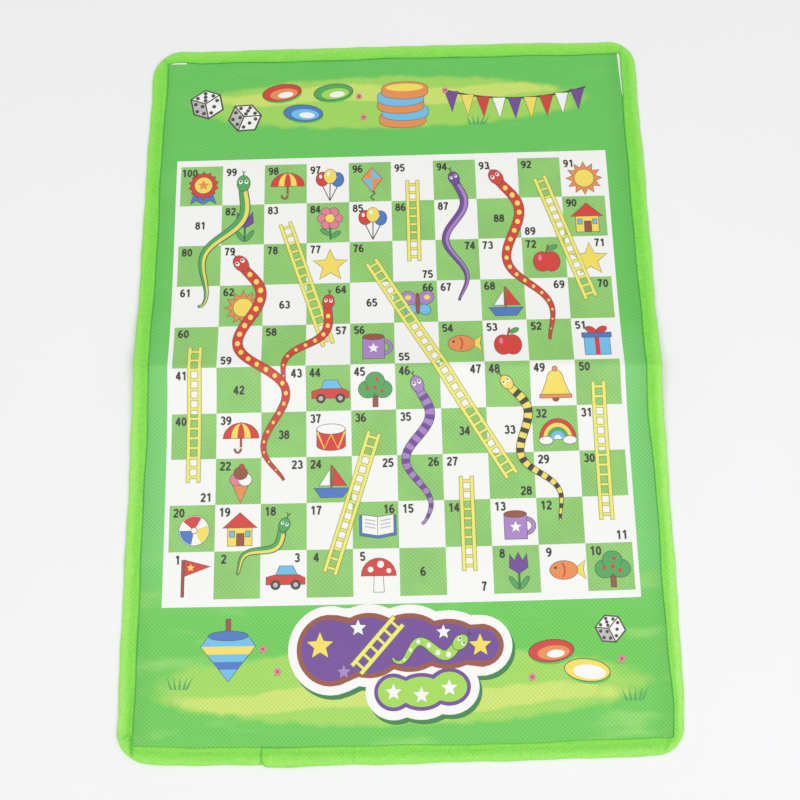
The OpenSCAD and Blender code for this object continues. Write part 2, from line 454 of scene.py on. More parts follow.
def print_finish():
    """Printed film: checked squares on a white panel, a painted green border, bond dots and sheen."""
    s = sizes()
    c = colours()
    f = Finish("printed_film")
    flat = f.flat_place()
    turned = f.node("ShaderNodeMapping", {"vector_type": "TEXTURE"}, {
        "Vector": flat,
        "Location": (-s.print_left, s.print_shift, 0.0),
        "Rotation": (0.0, 0.0, s.print_turn),
        "Scale": (1.0 / MM_PER_M, 1.0 / MM_PER_M, 1.0 / MM_PER_M),
    })
    upright = f.axes(turned)
    y = upright.out(1)
    x = upright + y * math.tan(s.print_lean)
    cell_w = s.square_width * MM_PER_M
    cell_h = s.square_height * MM_PER_M
    away_x = f.math("ABSOLUTE", x)
    away_y = f.math("ABSOLUTE", y)

    # Squares, ten by ten, in a green that is a little blotched
    column = f.math("FLOOR", x / cell_w + 5.0)
    row = f.math("FLOOR", y / cell_h + 5.0)
    odd = f.math("FLOORED_MODULO", column + row, 2.0)
    in_squares = f.math("LESS_THAN", away_x, 5 * cell_w) * f.math("LESS_THAN", away_y, 5 * cell_h)
    blotch = f.ramp(f.noise(turned, 0.06, 3.0), 0.3, 0.7)
    square = f.mix(blotch, [v * 0.94 for v in c.square], [min(1.0, v * 1.06) for v in c.square])
    green = odd * in_squares
    panel = f.mix(green, tuple(c.white), square)

    # Border: deeper in the upper half and at the sides, with pale brushed streaks and two meadow bands
    mottle = f.noise(turned, 0.028, 3.0)
    deep = f.mix(f.ramp(y + mottle * 40.0, 14.0, 46.0), tuple(c.border), tuple(c.border_deep))
    deep = f.mix(f.ramp(mottle * 30.0 - y, 95.0, 128.0), deep, tuple(c.border_low))
    brushed = f.node("ShaderNodeMapping", None, {
        "Vector": turned, "Rotation": (0.0, 0.0, math.radians(38)), "Scale": (0.018, 0.07, 1.0),
    })
    streak = f.ramp(f.noise(brushed, 1.6, 3.0), 0.52, 0.72)
    low = f.ramp(0.0 - y, 60.0, 104.0)
    border = f.mix(streak * (low * 0.5 + 0.12), deep, tuple(c.border_pale))
    ragged = f.noise(turned, 0.11, 3.0) * 0.5 - 0.25
    wave = f.math("SINE", x * 0.071) * 1.6
    for middle, reach, crest in MEADOWS:
        band = f.ramp(lens(x, y, middle, reach) + ragged, 0.0, 0.3)
        crest_middle = (middle[0], middle[1] + crest)
        inner = lens(x, y + wave, crest_middle, (reach[0] * 0.95, reach[1] * 0.34))
        border = f.mix(band * 0.92, border, tuple(c.lime))
        border = f.mix(band * f.ramp(inner + ragged * 1.6, -0.05, 0.45) * 0.85, border, tuple(c.yellow))
    border = f.mix(f.ramp(away_x, 98.0, 106.5) * 0.3, border, [v * 0.7 for v in c.border_deep])

    half_w = s.panel_width * MM_PER_M / 2
    half_h = s.panel_height * MM_PER_M / 2
    in_panel = f.math("LESS_THAN", away_x, half_w) * f.math("LESS_THAN", away_y, half_h)
    printed = f.mix(in_panel, border, panel)
    inked = 1.0 - in_panel * (1.0 - green)

    # The print stops short of the binding by the two top corners
    flat_x = f.axes(flat)
    flat_y = flat_x.out(1)
    right_gap = f.math("GREATER_THAN", flat_x + flat_y * 0.04, 0.111)
    right_gap = right_gap * f.math("GREATER_THAN", flat_y, 0.1315)
    left_gap = f.math("GREATER_THAN", flat_y, 0.1537) * f.math("LESS_THAN", flat_x, -0.0972)
    printed = f.mix(f.math("MAXIMUM", right_gap, left_gap), printed, tuple(c.cloth))

    # Bond dots, fibres under the film, a slightly uneven ink, and pale specks of painted sheen
    dots = bond_dots(f, flat)
    fibre = f.noise(f.millimetres(flat), 2.6, 2.0)
    shade = 1.0 - dots * (inked * 0.17 + 0.015) + (fibre - 0.5) * (inked * 0.12 + 0.02) + inked * 0.05
    speck = (fibre * 0.14 - dots * 0.035 - 0.03) * inked
    return f.surface(
        Base_Color=f.mix(speck, f.toned(printed, shade), (1.0, 1.0, 1.0)),
        Roughness=0.46 - dots * 0.08 + (fibre - 0.5) * 0.1,
        Normal=f.bump(fibre * 0.25 - dots, DOT_DEPTH, DOT_STRENGTH),
        Specular_IOR_Level=0.34,
    )


def ink_finish(name):
    """One flat ink over the bond dots."""
    f = Finish(name + "_ink")
    dots = bond_dots(f, f.flat_place())
    return f.surface(
        Base_Color=(*getattr(colours(), name), 1.0), Roughness=0.47 - dots * 0.08,
        Normal=f.bump(0.0 - dots, DOT_DEPTH, DOT_STRENGTH), Specular_IOR_Level=0.34,
    )


def cloth_finish():
    """White non-woven cloth: bond dots, and long fibres that lie every way."""
    f = Finish("white_cloth")
    flat = f.flat_place()
    dots = bond_dots(f, flat)
    millimetres = f.millimetres(flat)
    fibre = f.noise(millimetres, 1.7, 4.0)
    cloudy = f.noise(millimetres, 0.12, 3.0)
    shade = 1.0 - dots * 0.09 + (fibre - 0.5) * 0.12 + (cloudy - 0.5) * 0.06
    return f.surface(
        Base_Color=f.toned(tuple(colours().cloth), shade), Roughness=0.86 - dots * 0.15,
        Normal=f.bump(fibre * 0.5 - dots, 0.00012, 0.9), Specular_IOR_Level=0.25, Sheen_Weight=0.15,
    )


def tape_finish():
    """Lime non-woven tape: a painted highlight along the outer fold, painted shade at the seam groove, cut
    edge, creases and lap's end, and a deeper tone over the upper half, with drawn streaks along it, bond
    dots and fibres."""
    c = colours()
    f = Finish("lime_tape")
    place = f.object_place()
    x = f.axes(place)
    y = x.out(1)
    across = f.axes(f.flat_place())
    painted_shade = across.out(2)
    millimetres = f.millimetres(place)
    fibre = f.noise(millimetres, 1.7, 3.0)
    cloudy = f.noise(millimetres, 0.16, 3.0)
    over_crease = f.ramp(y, -0.03, 0.03)
    upper = over_crease * (1.0 - f.ramp(y, 0.146, 0.156))
    lower = (1.0 - over_crease) * f.ramp(y, -0.154, -0.142)
    strip = f.node("ShaderNodeCombineXYZ", None, {0: across * 800.0, 1: across.out(1) * 160.0})
    drawn_out = f.ramp(f.noise(strip, 1.0, 3.0), 0.45, 0.7)
    dots = bond_dots(f, place)
    # Painted highlight along the outer fold: wider and stronger over the lower half, weaker over the upper
    # half, and stronger to the right, where the light falls
    pale = 1.0 - f.ramp(across + (cloudy - 0.5) * 0.003 - lower * 0.0008, 0.0004, 0.0036)
    pale = pale * (0.58 + lower * 0.28 - upper * 0.08 + x * 0.9)
    body = f.mix(drawn_out * 0.55 + upper * 0.35, tuple(c.tape), tuple(c.tape_deep))
    body = f.mix(pale, body, tuple(c.tape_fold))
    # Painted shade at the seam groove, cut edge, creases and lap's end
    body = f.mix(painted_shade * 0.85, body, tuple(c.tape_edge))
    shade = 1.01 - dots * 0.06 + (fibre - 0.5) * 0.4 + (cloudy - 0.5) * 0.1
    # Pale specks of painted sheen
    speck = fibre * 0.16 - dots * 0.03 - 0.045
    return f.surface(
        Base_Color=f.mix(speck, f.toned(body, shade), (1.0, 1.0, 1.0)),
        Roughness=0.8 - dots * 0.1,
        Normal=f.bump(fibre * 0.6 - dots * 0.8, 0.0001, 0.8),
        Specular_IOR_Level=0.28, Sheen_Weight=0.12,
    )


def thread_finish(name):
    """Twisted thread: slanting ply lines along each stitch."""
    f = Finish("lime_" + name)
    along = f.axes(f.flat_place())
    ply = f.math("SINE", along * 9000.0 + along.out(1) * 2.0) * 0.5 + 0.5
    c = getattr(colours(), name)
    return f.surface(
        Base_Color=f.mix(ply, [v * 0.88 for v in c], tuple(c)), Roughness=0.62 - ply * 0.12,
        Normal=f.bump(ply, 0.00005, 0.7), Sheen_Weight=0.1,
    )


# How the mat lies


def smooth(t):
    """Smooth step of t held between 0 and 1."""
    t = np.clip(t, 0.0, 1.0)
    return t * t * (3.0 - 2.0 * t)


def ease(value, start, run):
    """Smooth step that begins at start and is full a run further on; a run below 0 goes down."""
    return smooth((value - start) / run)


def past(value, start):
    """Smooth step that begins at start and is full at 1."""
    return ease(value, start, 1.0 - start)


def bell(t):
    """Bell curve: 1 at 0, 37% at 1 either way."""
    return np.exp(-(t**2))


def crease_distance(x, y):
    """Distance over the crease, a line turned a little from square to the mat, positive above it."""
    skew = sizes().crease_skew
    return (y - CREASE_Y + CREST_SHIFT) * math.cos(skew) + x * math.sin(skew)


def lift(x, y):
    """Height over the table: a ridge that falls off exponentially from a rounded crest, slow waves
    along the bound edges, and a smooth step up to each corner. Nothing is below 0."""
    s = sizes()
    away = np.hypot(crease_distance(x, y), CREST_ROUND) - CREST_ROUND
    ridge = s.ridge_height * np.exp(-away / s.ridge_fall)
    edge = smooth(1.0 - np.minimum(HALF_W - np.abs(x), HALF_L - np.abs(y)) / EDGE_BAND)
    waves = np.sin(TURN * y / WAVE_ALONG + 1.3 * np.sin(TURN * x / WAVE_SWAY))
    waves = waves + np.sin(TURN * x / WAVE_ACROSS + 0.8)
    corner = np.where(y > 0.0, np.where(x > 0.0, 1, 2), np.where(x > 0.0, 0, 3))
    away = np.hypot(np.abs(x) - HALF_W, np.abs(y) - HALF_L)
    near = smooth(1.0 - away / np.take(CORNER_REACH, corner))
    up = s.corner_lift * np.take(CORNER_LIFTS, corner) * near
    return ridge + s.edge_ripple * edge * (1.0 + waves / 2.0) + up


def drawn(x, y):
    """How far sewing has drawn the mat out of square: a shear, the bottom edge turned, the sides drawn
    in towards the corners, one corner drawn up, and the top edge drawn down, more so in a sag. Places
    are shares of the half length and the half width."""
    s = sizes()
    up = y / HALF_L
    right = x / HALF_W
    pull = past(up, 0.5) + past(-up, 0.6) + past(-up, 0.86) * smooth(right)
    across = s.shear * up - s.side_draw * right * pull
    along = s.bottom_turn * np.where(right > 0.0, right * right, -0.12 * right) * np.clip(-up, 0.0, 1.0)
    along = along + s.corner_draw * past(-right, 0.7) * past(-up, 0.85)
    sag = s.top_draw + s.top_sag * bell((right - 0.76) / 0.2)
    return across, along - sag * past(up, 0.6)


def laid(x, y, rise):
    """Points of the flat mat as it lies: drawn out of square, and lifted by rise over the lift there."""
    across, along = drawn(x, y)
    return np.stack(np.broadcast_arrays(x + across, y + along, lift(x, y) + rise), axis=-1)


# Mesh making


def grid_faces(down, across, close_down=False, close_across=False):
    """Corner numbers of the quads between the points of a grid."""
    i = np.arange(down if close_down else down - 1)[:, None]
    j = np.arange(across if close_across else across - 1)[None, :]
    below = (i + 1) % down
    right = (j + 1) % across
    corners = (i * across + j, i * across + right, below * across + right, below * across + j)
    return np.stack(np.broadcast_arrays(*corners), axis=-1).reshape(-1, 4)


def keep_flat(mesh, flat):
    """Stores each point's place on the flat cloth for the materials."""
    held = mesh.attributes.new("Flat", "FLOAT_VECTOR", "POINT")
    held.data.foreach_set("vector", np.ascontiguousarray(flat, dtype=np.float32).ravel())


def make_piece(name, points, faces, finishes, flat):
    """A smooth mesh piece at the origin."""
    mesh = bpy.data.meshes.new(name)
    mesh.from_pydata(points.reshape(-1, 3).tolist(), [], faces)
    mesh.polygons.foreach_set("use_smooth", np.ones(len(mesh.polygons), dtype=bool))
    keep_flat(mesh, flat.reshape(-1, 3))
    for finish in finishes:
        mesh.materials.append(finish)
    piece = bpy.data.objects.new(name, mesh)
    bpy.context.scene.collection.objects.link(piece)
    return piece


def thicken(piece, thickness):
    """Gives a sheet its thickness, downwards from its face."""
    wall = piece.modifiers.new("thickness", "SOLIDIFY")
    wall.thickness = thickness
    wall.offset = -1.0


def bend_with_fold(piece):
    """Bakes the piece's placement into its mesh."""
    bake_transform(piece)


# Sheets


def side_rows(bridge, reach, rows):
    """Distances from the hinge line: the bridge's edge, even fine steps over the crest, then steps that
    grow by a sinh up to reach."""
    fine = np.arange(bridge + FINE_STEP, FINE_REACH, FINE_STEP)
    t = np.linspace(0.0, 1.0, rows)
    far = FINE_REACH + (reach - FINE_REACH) * np.sinh(ROW_CROWDING * t) / math.sinh(ROW_CROWDING)
    return np.concatenate([[bridge], fine, far])


def sheet_grid(inset, bridge, columns, rows):
    """The flat sheet: rows at set distances from the hinge line, whose half widths follow the round
    corners, with a notch under the tape there, so that the tape is outermost where the mat folds."""
    u = np.linspace(-1.0, 1.0, columns)[None, :]
    below = CREASE_Y - side_rows(bridge, HALF_L - inset + CREASE_Y, rows)[::-1]
    above = CREASE_Y + side_rows(bridge, HALF_L - inset - CREASE_Y, rows)
    y = np.concatenate([below, above])[:, None] + np.zeros_like(u)
    radius = CORNER_R - inset
    over = np.clip(np.abs(y) - (HALF_L - CORNER_R), 0.0, radius)
    half = HALF_W - CORNER_R + np.sqrt(np.maximum(radius * radius - over * over, 0.0))
    notch = FOLD_NOTCH * (1.0 - ease(np.abs(y - CREASE_Y), NOTCH_FULL, NOTCH_EASE))
    return u * (half - notch), y


def make_sheet(name, rise, thickness, bridge, columns, rows, finish):
    """A thin sheet laid on the table over the crease."""
    x, y = sheet_grid(SHEET_INSET, bridge, columns, rows)
    flat = np.stack([x, y, np.zeros_like(x)], axis=-1)
    faces = grid_faces(*x.shape).tolist()
    piece = make_piece(name, laid(x, y, rise), faces, [finish], flat)
    thicken(piece, thickness)
    bend_with_fold(piece)
    return piece


# Binding


# Steps between the tape's sections, closer ones by the hinge line and by the lap's cut, the room kept
# clear beside those, and how many sections turn a corner
RUN_STEP = 0.0007
HINGE_STEPS = np.concatenate([[BRIDGE], np.arange(0.0007, 0.007, 0.0003)])
CUT_STEPS = np.arange(-0.0015, 0.0016, 0.00025)
STEP_CLEAR = 0.0001
CORNER_SECTIONS = 42

# Where the tape is narrower up the right side and along the top: by how much, from where, in what distance
RIGHT_SLACK = (
    (0.0004, 0.124, 0.012), (0.001, -0.01, -0.05), (0.0003, -0.09, -0.02), (0.0011, -0.105, -0.045),
)
TOP_SLACK = (0.0009, -0.088, -0.012)

# How square to a side the edge faces for that slack to begin, and in what change of facing it is full
SIDE_FACING = (0.7, 0.2)

# Where it is wider up the right side, and narrower at the bottom right corner, by the way the edge faces
RIGHT_SWELL = (0.0007, 0.1, 0.03)
CORNER_SLACK = (0.0008, (0.76, -0.65), 0.3)

# Sines round the mat that make the tape uneven: size, count and phase of each
WIDTH_WAVES = ((0.00022, 13, 0.0), (0.00013, 31, 1.0))
PUFF_WAVES = ((0.4, 19, 0.0), (0.3, 47, 2.0))
FOLD_WAVES = ((0.00013, 23, 0.7), (0.0001, 61, 0.0))

# Points across the tape: shares of the way from its cut edge to the fold, and turns round the fold
TOP_SHARES = np.array([0.0, 0.07, 0.14, 0.21, 0.27, 0.335, 0.4, 0.47, 0.6, 0.74, 0.88, 1.0])
ROUND_TURNS = np.radians(np.linspace(90.0, -90.0, 11)[1:-1])

# Where the face swells, and how much of it curls up at the cut edge, in shares of its width
PUFF_START = 0.33
PUFF_SPAN = 0.78
LIP_SHARE = 0.24

# How far the cut edge curls up, how far the bottom edge's is pressed, and how far in the lip goes
LIP_CURL = 0.00013
LIP_PRESS = 0.0003
LIP_REACH = 0.0013

# Groove of the seam: depth, how much deeper it is at a stitch, and reach; then the pucker beside it
GROOVE_DEPTH = 0.00012
GROOVE_BEAT = 0.00005
GROOVE_REACH = 0.0006
PUCKER_DEPTH = 0.00006
PUCKER_REACH = 0.0017

# How far the fold stands out, and the room between the tape and the film, under it and at its face
FOLD_BULGE = 0.00023
FILM_GAP = 0.00002
FACE_GAP = 0.00015

# Creases where the tape turns the corners: the sides they are on, two ends as distances in from the
# corner's two edges, then half width, depth and how dark the painted shade in them is
CORNER_CREASES = (
    (-1, -1, (0.0053, 0.0104), (0.0063, 0.0034), 0.0007, 0.0003, 1.0),
    (-1, -1, (0.0024, 0.0096), (0.0046, 0.0112), 0.0006, 0.0002, 0.5),
    (-1, -1, (0.0047, 0.0116), (0.0053, 0.03), 0.0005, 0.0001, 0.3),
    (1, -1, (0.0052, 0.0058), (0.0078, 0.002), 0.0005, 0.0002, 0.5),
    (-1, 1, (0.0062, 0.0064), (0.0036, 0.003), 0.0011, 0.0002, 0.35),
    (1, 1, (0.0064, 0.006), (0.0052, 0.002), 0.0008, 0.00015, 0.3),
)

# Lapped end: thickness, how much of it feathers away, how far its cut end turns up, how deep it sits in
# the tape, its snipped corner, and how many of the fold's points it covers
LAP_T = 0.00052
LAP_FEATHER = 0.93
LAP_TURN_UP = 0.00018
LAP_SUNK = 0.00006
LAP_SNIP = (0.0011, 0.0014)
LAP_ROUND = 6

# How far the fold stands out by the lap, and where that dies away and in what distance
LAP_BULGE = 0.0004
LAP_BULGE_END = (-0.006, 0.036)

# How high up the bottom edge the lap's band goes, and in what distance the seam climbs onto it
LAP_BAND = 0.008
SEAM_CLIMB = 0.0006

# Room between the tape's inner side and the cloth's edge and back, in shares of what is there
INNER_SHARE = 0.9
UNDER_SHARE = 0.95

# Painted shade on the tape: over the crease with its reach, at the cut edge with the share it covers and
# how dark it is along the lit bottom edge, at the lap's end with its reach, and in the seam's groove and at
# its stitches
CREASE_MARK = 0.22
CREASE_MARK_REACH = 0.0007
EDGE_MARK_SHARE = 0.07
EDGE_MARK_LOW = 0.3
LAP_MARK = 0.7
LAP_MARK_REACH = 0.0005
SEAM_MARK = 0.06
STITCH_MARK = 0.05


def ripples(lap, waves):
    """Sum of sines round the mat."""
    return sum(size * np.sin(count * lap + phase) for size, count, phase in waves)


class EdgePath:
    """The mat's outline, a round-cornered rectangle walked anticlockwise from the bottom edge's left
    end: points, outward normals, distance along the seam and the tape's width at each."""

    def __init__(self):
        by_hinge = np.concatenate([-HINGE_STEPS, HINGE_STEPS]) + CREASE_Y
        by_cut = CUT_STEPS + LAP_CUT
        turn = np.linspace(0.0, TURN / 4, CORNER_SECTIONS)[1:-1]
        runs = []
        radii = []
        for quarter in range(4):
            facing = (quarter - 1) * TURN / 4
            out = np.array([math.cos(facing), math.sin(facing)])
            ahead = np.array([-out[1], out[0]])
            half, reach = (HALF_W, HALF_L) if quarter % 2 == 0 else (HALF_L, HALF_W)
            before, radius = CORNER_RADII[quarter - 1], CORNER_RADII[quarter]
            count = round((2 * half - before - radius) / RUN_STEP) + 1
            run = np.linspace(before - half, half - radius, count)
            if quarter != 2:
                extra = by_cut if quarter == 0 else by_hinge * ahead[1]
                clear = (run < extra.min() - STEP_CLEAR) | (run > extra.max() + STEP_CLEAR)
                run = np.sort(np.concatenate([run[clear], extra]))
            spots = run[:, None] * ahead + out * reach
            runs.append((spots, np.broadcast_to(out, spots.shape)))
            arc = np.stack([np.cos(facing + turn), np.sin(facing + turn)], axis=-1)
            runs.append((out * (reach - radius) + ahead * (half - radius) + radius * arc, arc))
            radii.append(np.full(len(run) + len(turn), radius))
        points = np.concatenate([spots for spots, _ in runs])
        normals = np.concatenate([facing for _, facing in runs])
        self.x, self.y = points.T
        self.nx, self.ny = normals.T
        s = sizes()
        width = self.sewn_width(np.concatenate(radii))
        self.seam_q = width * (1.0 - s.seam_inset / s.tape_width)
        seam = points - normals * self.seam_q[:, None]
        steps = np.linalg.norm(np.roll(seam, -1, axis=0) - seam, axis=1)
        self.along = np.concatenate([[0.0], np.cumsum(steps)[:-1]])
        self.total = float(steps.sum())
        self.stitches = round(self.total / s.stitch_pitch)
        self.pitch = self.total / self.stitches
        self.lap = TURN * self.along / self.total
        self.width = width + ripples(self.lap, WIDTH_WAVES)

    def sewn_width(self, radius):
        """The tape's width: its inner edge is square at the corners, and a slack of smooth steps and bells
        is taken off where the tape is narrower."""
        square = radius - (radius - sizes().tape_width) / np.maximum(np.abs(self.nx), np.abs(self.ny))
        slack = sum(by * ease(self.y, start, run) for by, start, run in RIGHT_SLACK)
        by, middle, reach = RIGHT_SWELL
        slack = slack - by * bell((self.y - middle) / reach)
        slack = slack * ease(self.nx, *SIDE_FACING)
        by, start, run = TOP_SLACK
        slack = slack + by * ease(self.ny, *SIDE_FACING) * ease(self.x, start, run)
        by, facing, reach = CORNER_SLACK
        slack = slack + by * bell(np.hypot(self.nx - facing[0], self.ny - facing[1]) / reach)
        return square - slack

    def inward(self, q):
        """Flat x and y of points at distances in from the outline."""
        return self.x[:, None] - self.nx[:, None] * q, self.y[:, None] - self.ny[:, None] * q

    def at(self, distance):
        """Flat points of the seam at distances along it."""
        distance = np.mod(distance, self.total)
        run = np.append(self.along, self.total)
        seam = (self.x - self.nx * self.seam_q, self.y - self.ny * self.seam_q)
        return np.stack([np.interp(distance, run, np.append(v, v[0])) for v in seam], axis=-1)


def section(face, turned, back):
    """One number for each point across the tape's skin: on its face, round its fold and on its back."""
    flat = len(TOP_SHARES)
    parts = ((face, flat), (turned, len(ROUND_TURNS)), (back, flat))
    return np.concatenate([np.broadcast_to(values, count) for values, count in parts])


def lap_bulge(x, y):
    """How far the tape stands out under the lap and past it, easing in from the cut end."""
    low = ease(-y, HALF_L - 0.004, 0.003)
    return LAP_BULGE * low * ease(x, LAP_CUT, 0.002) * (1.0 - ease(x, *LAP_BULGE_END))


def crease_marks(x, y):
    """How deep the corner creases are and how much painted shade they put on the tape: a bell across each
    segment.
    """
    depth = np.zeros_like(x)
    mark = np.zeros_like(x)
    for right, up, first, last, wide, deep, dark in CORNER_CREASES:
        a = np.array([right * (HALF_W - first[0]), up * (HALF_L - first[1])])
        b = np.array([right * (HALF_W - last[0]), up * (HALF_L - last[1])])
        run = b - a
        t = np.clip(((x - a[0]) * run[0] + (y - a[1]) * run[1]) / np.sum(run**2), 0.0, 1.0)
        near = bell(np.hypot(x - a[0] - t * run[0], y - a[1] - t * run[1]) / wide)
        depth += deep * near
        mark += dark * near
    return depth, np.clip(mark, 0.0, 1.0)


def lip_curl(path):
    """How far the tape's cut edge curls up off the print; the bottom edge is pressed flat."""
    lap = path.lap[:, None]
    up = LIP_CURL * (1.0 + 0.6 * np.sin(37 * lap + 0.5)) * (0.75 + 0.25 * np.sin(7 * lap))
    return up - (up + LIP_PRESS) * ease(-path.ny[:, None], 0.5, 0.4)


def tape_skin(path):
    """Outer skin of the folded tape as distance in from the edge, height and how much painted shade it
    takes:
    flat from the cut edge to the fold, half round at the fold, and flat beneath. The face swells
    between seam and fold, its cut edge curls up, the seam presses a groove that deepens at each stitch,
    creases run across the corners, and the fold stands out unevenly."""
    r = EDGE_T / 2
    width = path.width[:, None]
    lap = path.lap[:, None]
    flat_q = width + (r - width) * TOP_SHARES
    round_q = np.broadcast_to(r - r * np.cos(ROUND_TURNS), (len(path.x), len(ROUND_TURNS)))
    q = np.concatenate([flat_q, round_q, flat_q[:, ::-1]], axis=1)
    level = section(EDGE_T, r + r * np.sin(ROUND_TURNS), 0.0)
    face = section(1.0, np.clip(np.sin(ROUND_TURNS), 0.0, 1.0), 0.0)
    back = section(0.0, 0.0, 1.0)
    out = section(0.0, np.cos(ROUND_TURNS), 0.0)
    share = section(TOP_SHARES, 1.0, TOP_SHARES[::-1])
    swell = np.sin(math.pi * np.clip((share - PUFF_START) / PUFF_SPAN, 0.0, 1.0))
    swell = sizes().tape_puff * (1.0 + ripples(lap, PUFF_WAVES)) * swell
    curl = lip_curl(path) * np.clip(1.0 - share / LIP_SHARE, 0.0, 1.0) ** 2
    beat = np.cos(TURN * path.along[:, None] / path.pitch)
    off_seam = q - path.seam_q[:, None]
    near_seam = bell(off_seam / GROOVE_REACH)
    groove = (GROOVE_DEPTH + GROOVE_BEAT * beat) * near_seam
    pucker = -PUCKER_DEPTH * beat * bell(off_seam / PUCKER_REACH)
    x, y = path.inward(q)
    # Painted shade: in the corner creases, along the crease over the ridge, in the seam's groove, at the
    # cut edge and at the lap's end
    crease, mark = crease_marks(x, y)
    mark = mark + CREASE_MARK * bell(crease_distance(x, y) / CREASE_MARK_REACH)
    z = level + face * (swell + curl - groove + pucker - crease) + back * groove
    z = np.where(face < 1.0, z, np.maximum(z, FILM_TOP + FACE_GAP))
    bulge = FOLD_BULGE + ripples(lap, FOLD_WAVES)
    q = q - out * (bulge + lap_bulge(path.x, path.y)[:, None])
    mark = mark + (SEAM_MARK - STITCH_MARK * beat) * near_seam
    dark = EDGE_MARK_LOW + (1.0 - EDGE_MARK_LOW) * ease(path.ny[:, None], -0.9, 0.4)
    mark = mark + dark * bell(share / EDGE_MARK_SHARE)
    by_lap = bell((path.x - LAP_CUT + 0.0002) / LAP_MARK_REACH) * past(-path.ny, 0.8)
    mark = mark + LAP_MARK * by_lap[:, None] * ease(share, 0.1, 0.2)
    return q, z, np.clip(mark, 0.0, 1.0) * face


def on_edge(path, q, z):
    """Section points carried round the outline. In the two sections at the hinge line, points are drawn
    back from it by their height, so that the tape's back is outermost where the mat folds."""
    x, y = path.inward(q)
    side = y - CREASE_Y
    tuck = TAPE_TUCK * np.clip(z / EDGE_T, 0.0, 1.0) * (np.abs(side) < 2.0 * BRIDGE)
    return laid(x, y + np.sign(side) * tuck, z)


def make_binding(finish):
    """The tape round the whole edge: its outer skin, then back inside round the cloth's edge."""
    path = EdgePath()
    q, z, painted_shade = tape_skin(path)
    width = path.width[:, None]
    ones = np.ones_like(width)
    inside = ones * SHEET_INSET * INNER_SHARE
    inner_q = np.concatenate([width, inside, inside, width - LIP_REACH, width], axis=1)
    under = ones * TAPE_T * UNDER_SHARE
    over = ones * FILM_TOP + FILM_GAP
    inner_z = np.concatenate([under, under, over, over, over + np.maximum(lip_curl(path), 0.0)], axis=1)
    q = np.concatenate([q, inner_q], axis=1)
    z = np.concatenate([z, inner_z], axis=1)
    # The tape's inner side, against the cloth, is painted in full shade
    painted_shade = np.concatenate([painted_shade, np.ones_like(inner_q)], axis=1)
    flat = np.stack([q, np.broadcast_to(path.along[:, None], q.shape), painted_shade], axis=-1)
    faces = grid_faces(*q.shape, close_down=True, close_across=True).tolist()
    return make_piece("binding_tape", on_edge(path, q, z), faces, [finish], flat)


def lap_height(x):
    """How far the lap stands over the tape: thick at its cut end, turned up there, and feathered to
    nothing at the far end."""
    share = (x - LAP_CUT) / (LAP_END - LAP_CUT)
    body = LAP_T * (1.0 - LAP_FEATHER * past(share, 0.25))
    return body + LAP_TURN_UP * (1.0 - smooth(share / 0.1))


def make_lap(finish):
    """The lapped end: a slab on the tape's own skin on the bottom edge, thick at its cut end and
    feathered where it joins the tape, with its outer corner snipped and its end turned out a little."""
    path = EdgePath()
    q, z, painted_shade = tape_skin(path)
    over = (path.ny < -0.99) & (path.x > LAP_CUT - 0.00001) & (path.x < LAP_END)
    facing = np.concatenate([np.full(len(TOP_SHARES), math.pi / 2), ROUND_TURNS[:LAP_ROUND]])
    q, z, painted_shade = (part[over][:, :len(facing)] for part in (q, z, painted_shade))
    x = path.x[over][:, None]
    # Painted shadow on the lap's cut end
    cut_mark = 0.6 * bell((x - LAP_CUT) / 0.0004)
    painted_shade = np.clip(painted_shade * ease(x, LAP_CUT, 0.0015) + cut_mark, 0.0, 1.0)
    painted_shade = np.concatenate([painted_shade, painted_shade[:, ::-1]], axis=1)
    share = (x - x[0]) / (x[-1] - x[0])
    rise = lap_height(x)
    inner_q = q + np.cos(facing) * LAP_SUNK
    inner_z = z - np.sin(facing) * LAP_SUNK
    q = np.concatenate([q - np.cos(facing) * rise, inner_q[:, ::-1]], axis=1)
    z = np.concatenate([z + np.sin(facing) * rise, inner_z[:, ::-1]], axis=1)
    snip, reach = LAP_SNIP
    cut = LAP_CUT + snip * np.clip(1.0 - q / reach, 0.0, 1.0)
    at_x = cut + (x[-1] - cut) * share
    flat = np.stack(np.broadcast_arrays(q, at_x, painted_shade), axis=-1)
    down, across = q.shape
    faces = grid_faces(down, across, close_across=True).tolist()
    faces.append(list(range(across))[::-1])
    faces.append([(down - 1) * across + k for k in range(across)])
    return make_piece("lapped_end", laid(at_x, q - HALF_L, z), faces, [finish], flat)


def lap_rise(x, y):
    """How far the seam rises where it runs over the lap."""
    on_lap = (y < -HALF_L + LAP_BAND) & (x < LAP_END)
    return np.where(on_lap, lap_height(x), 0.0) * ease(x, LAP_CUT, SEAM_CLIMB)


# Stitches on the face: how far they sink under it, half thickness and arch; then those on the back, with
# their height
NEEDLE_SINK = 0.00012
NEEDLE_HALF_T = 0.00014
NEEDLE_ARCH = 0.00008
BOBBIN_Z = 0.00018
BOBBIN_HALF_T = 0.00012
BOBBIN_ARCH = -0.00005

# Bars of the tack: count, half thickness and arch, rise over the face, slant, and shift from the solid
TACK_BARS = 8
TACK_HALF = 0.0002
TACK_RISE = 0.0002
TACK_SLANT = 0.0002
TACK_SHIFT = (-0.00025, -0.0011)


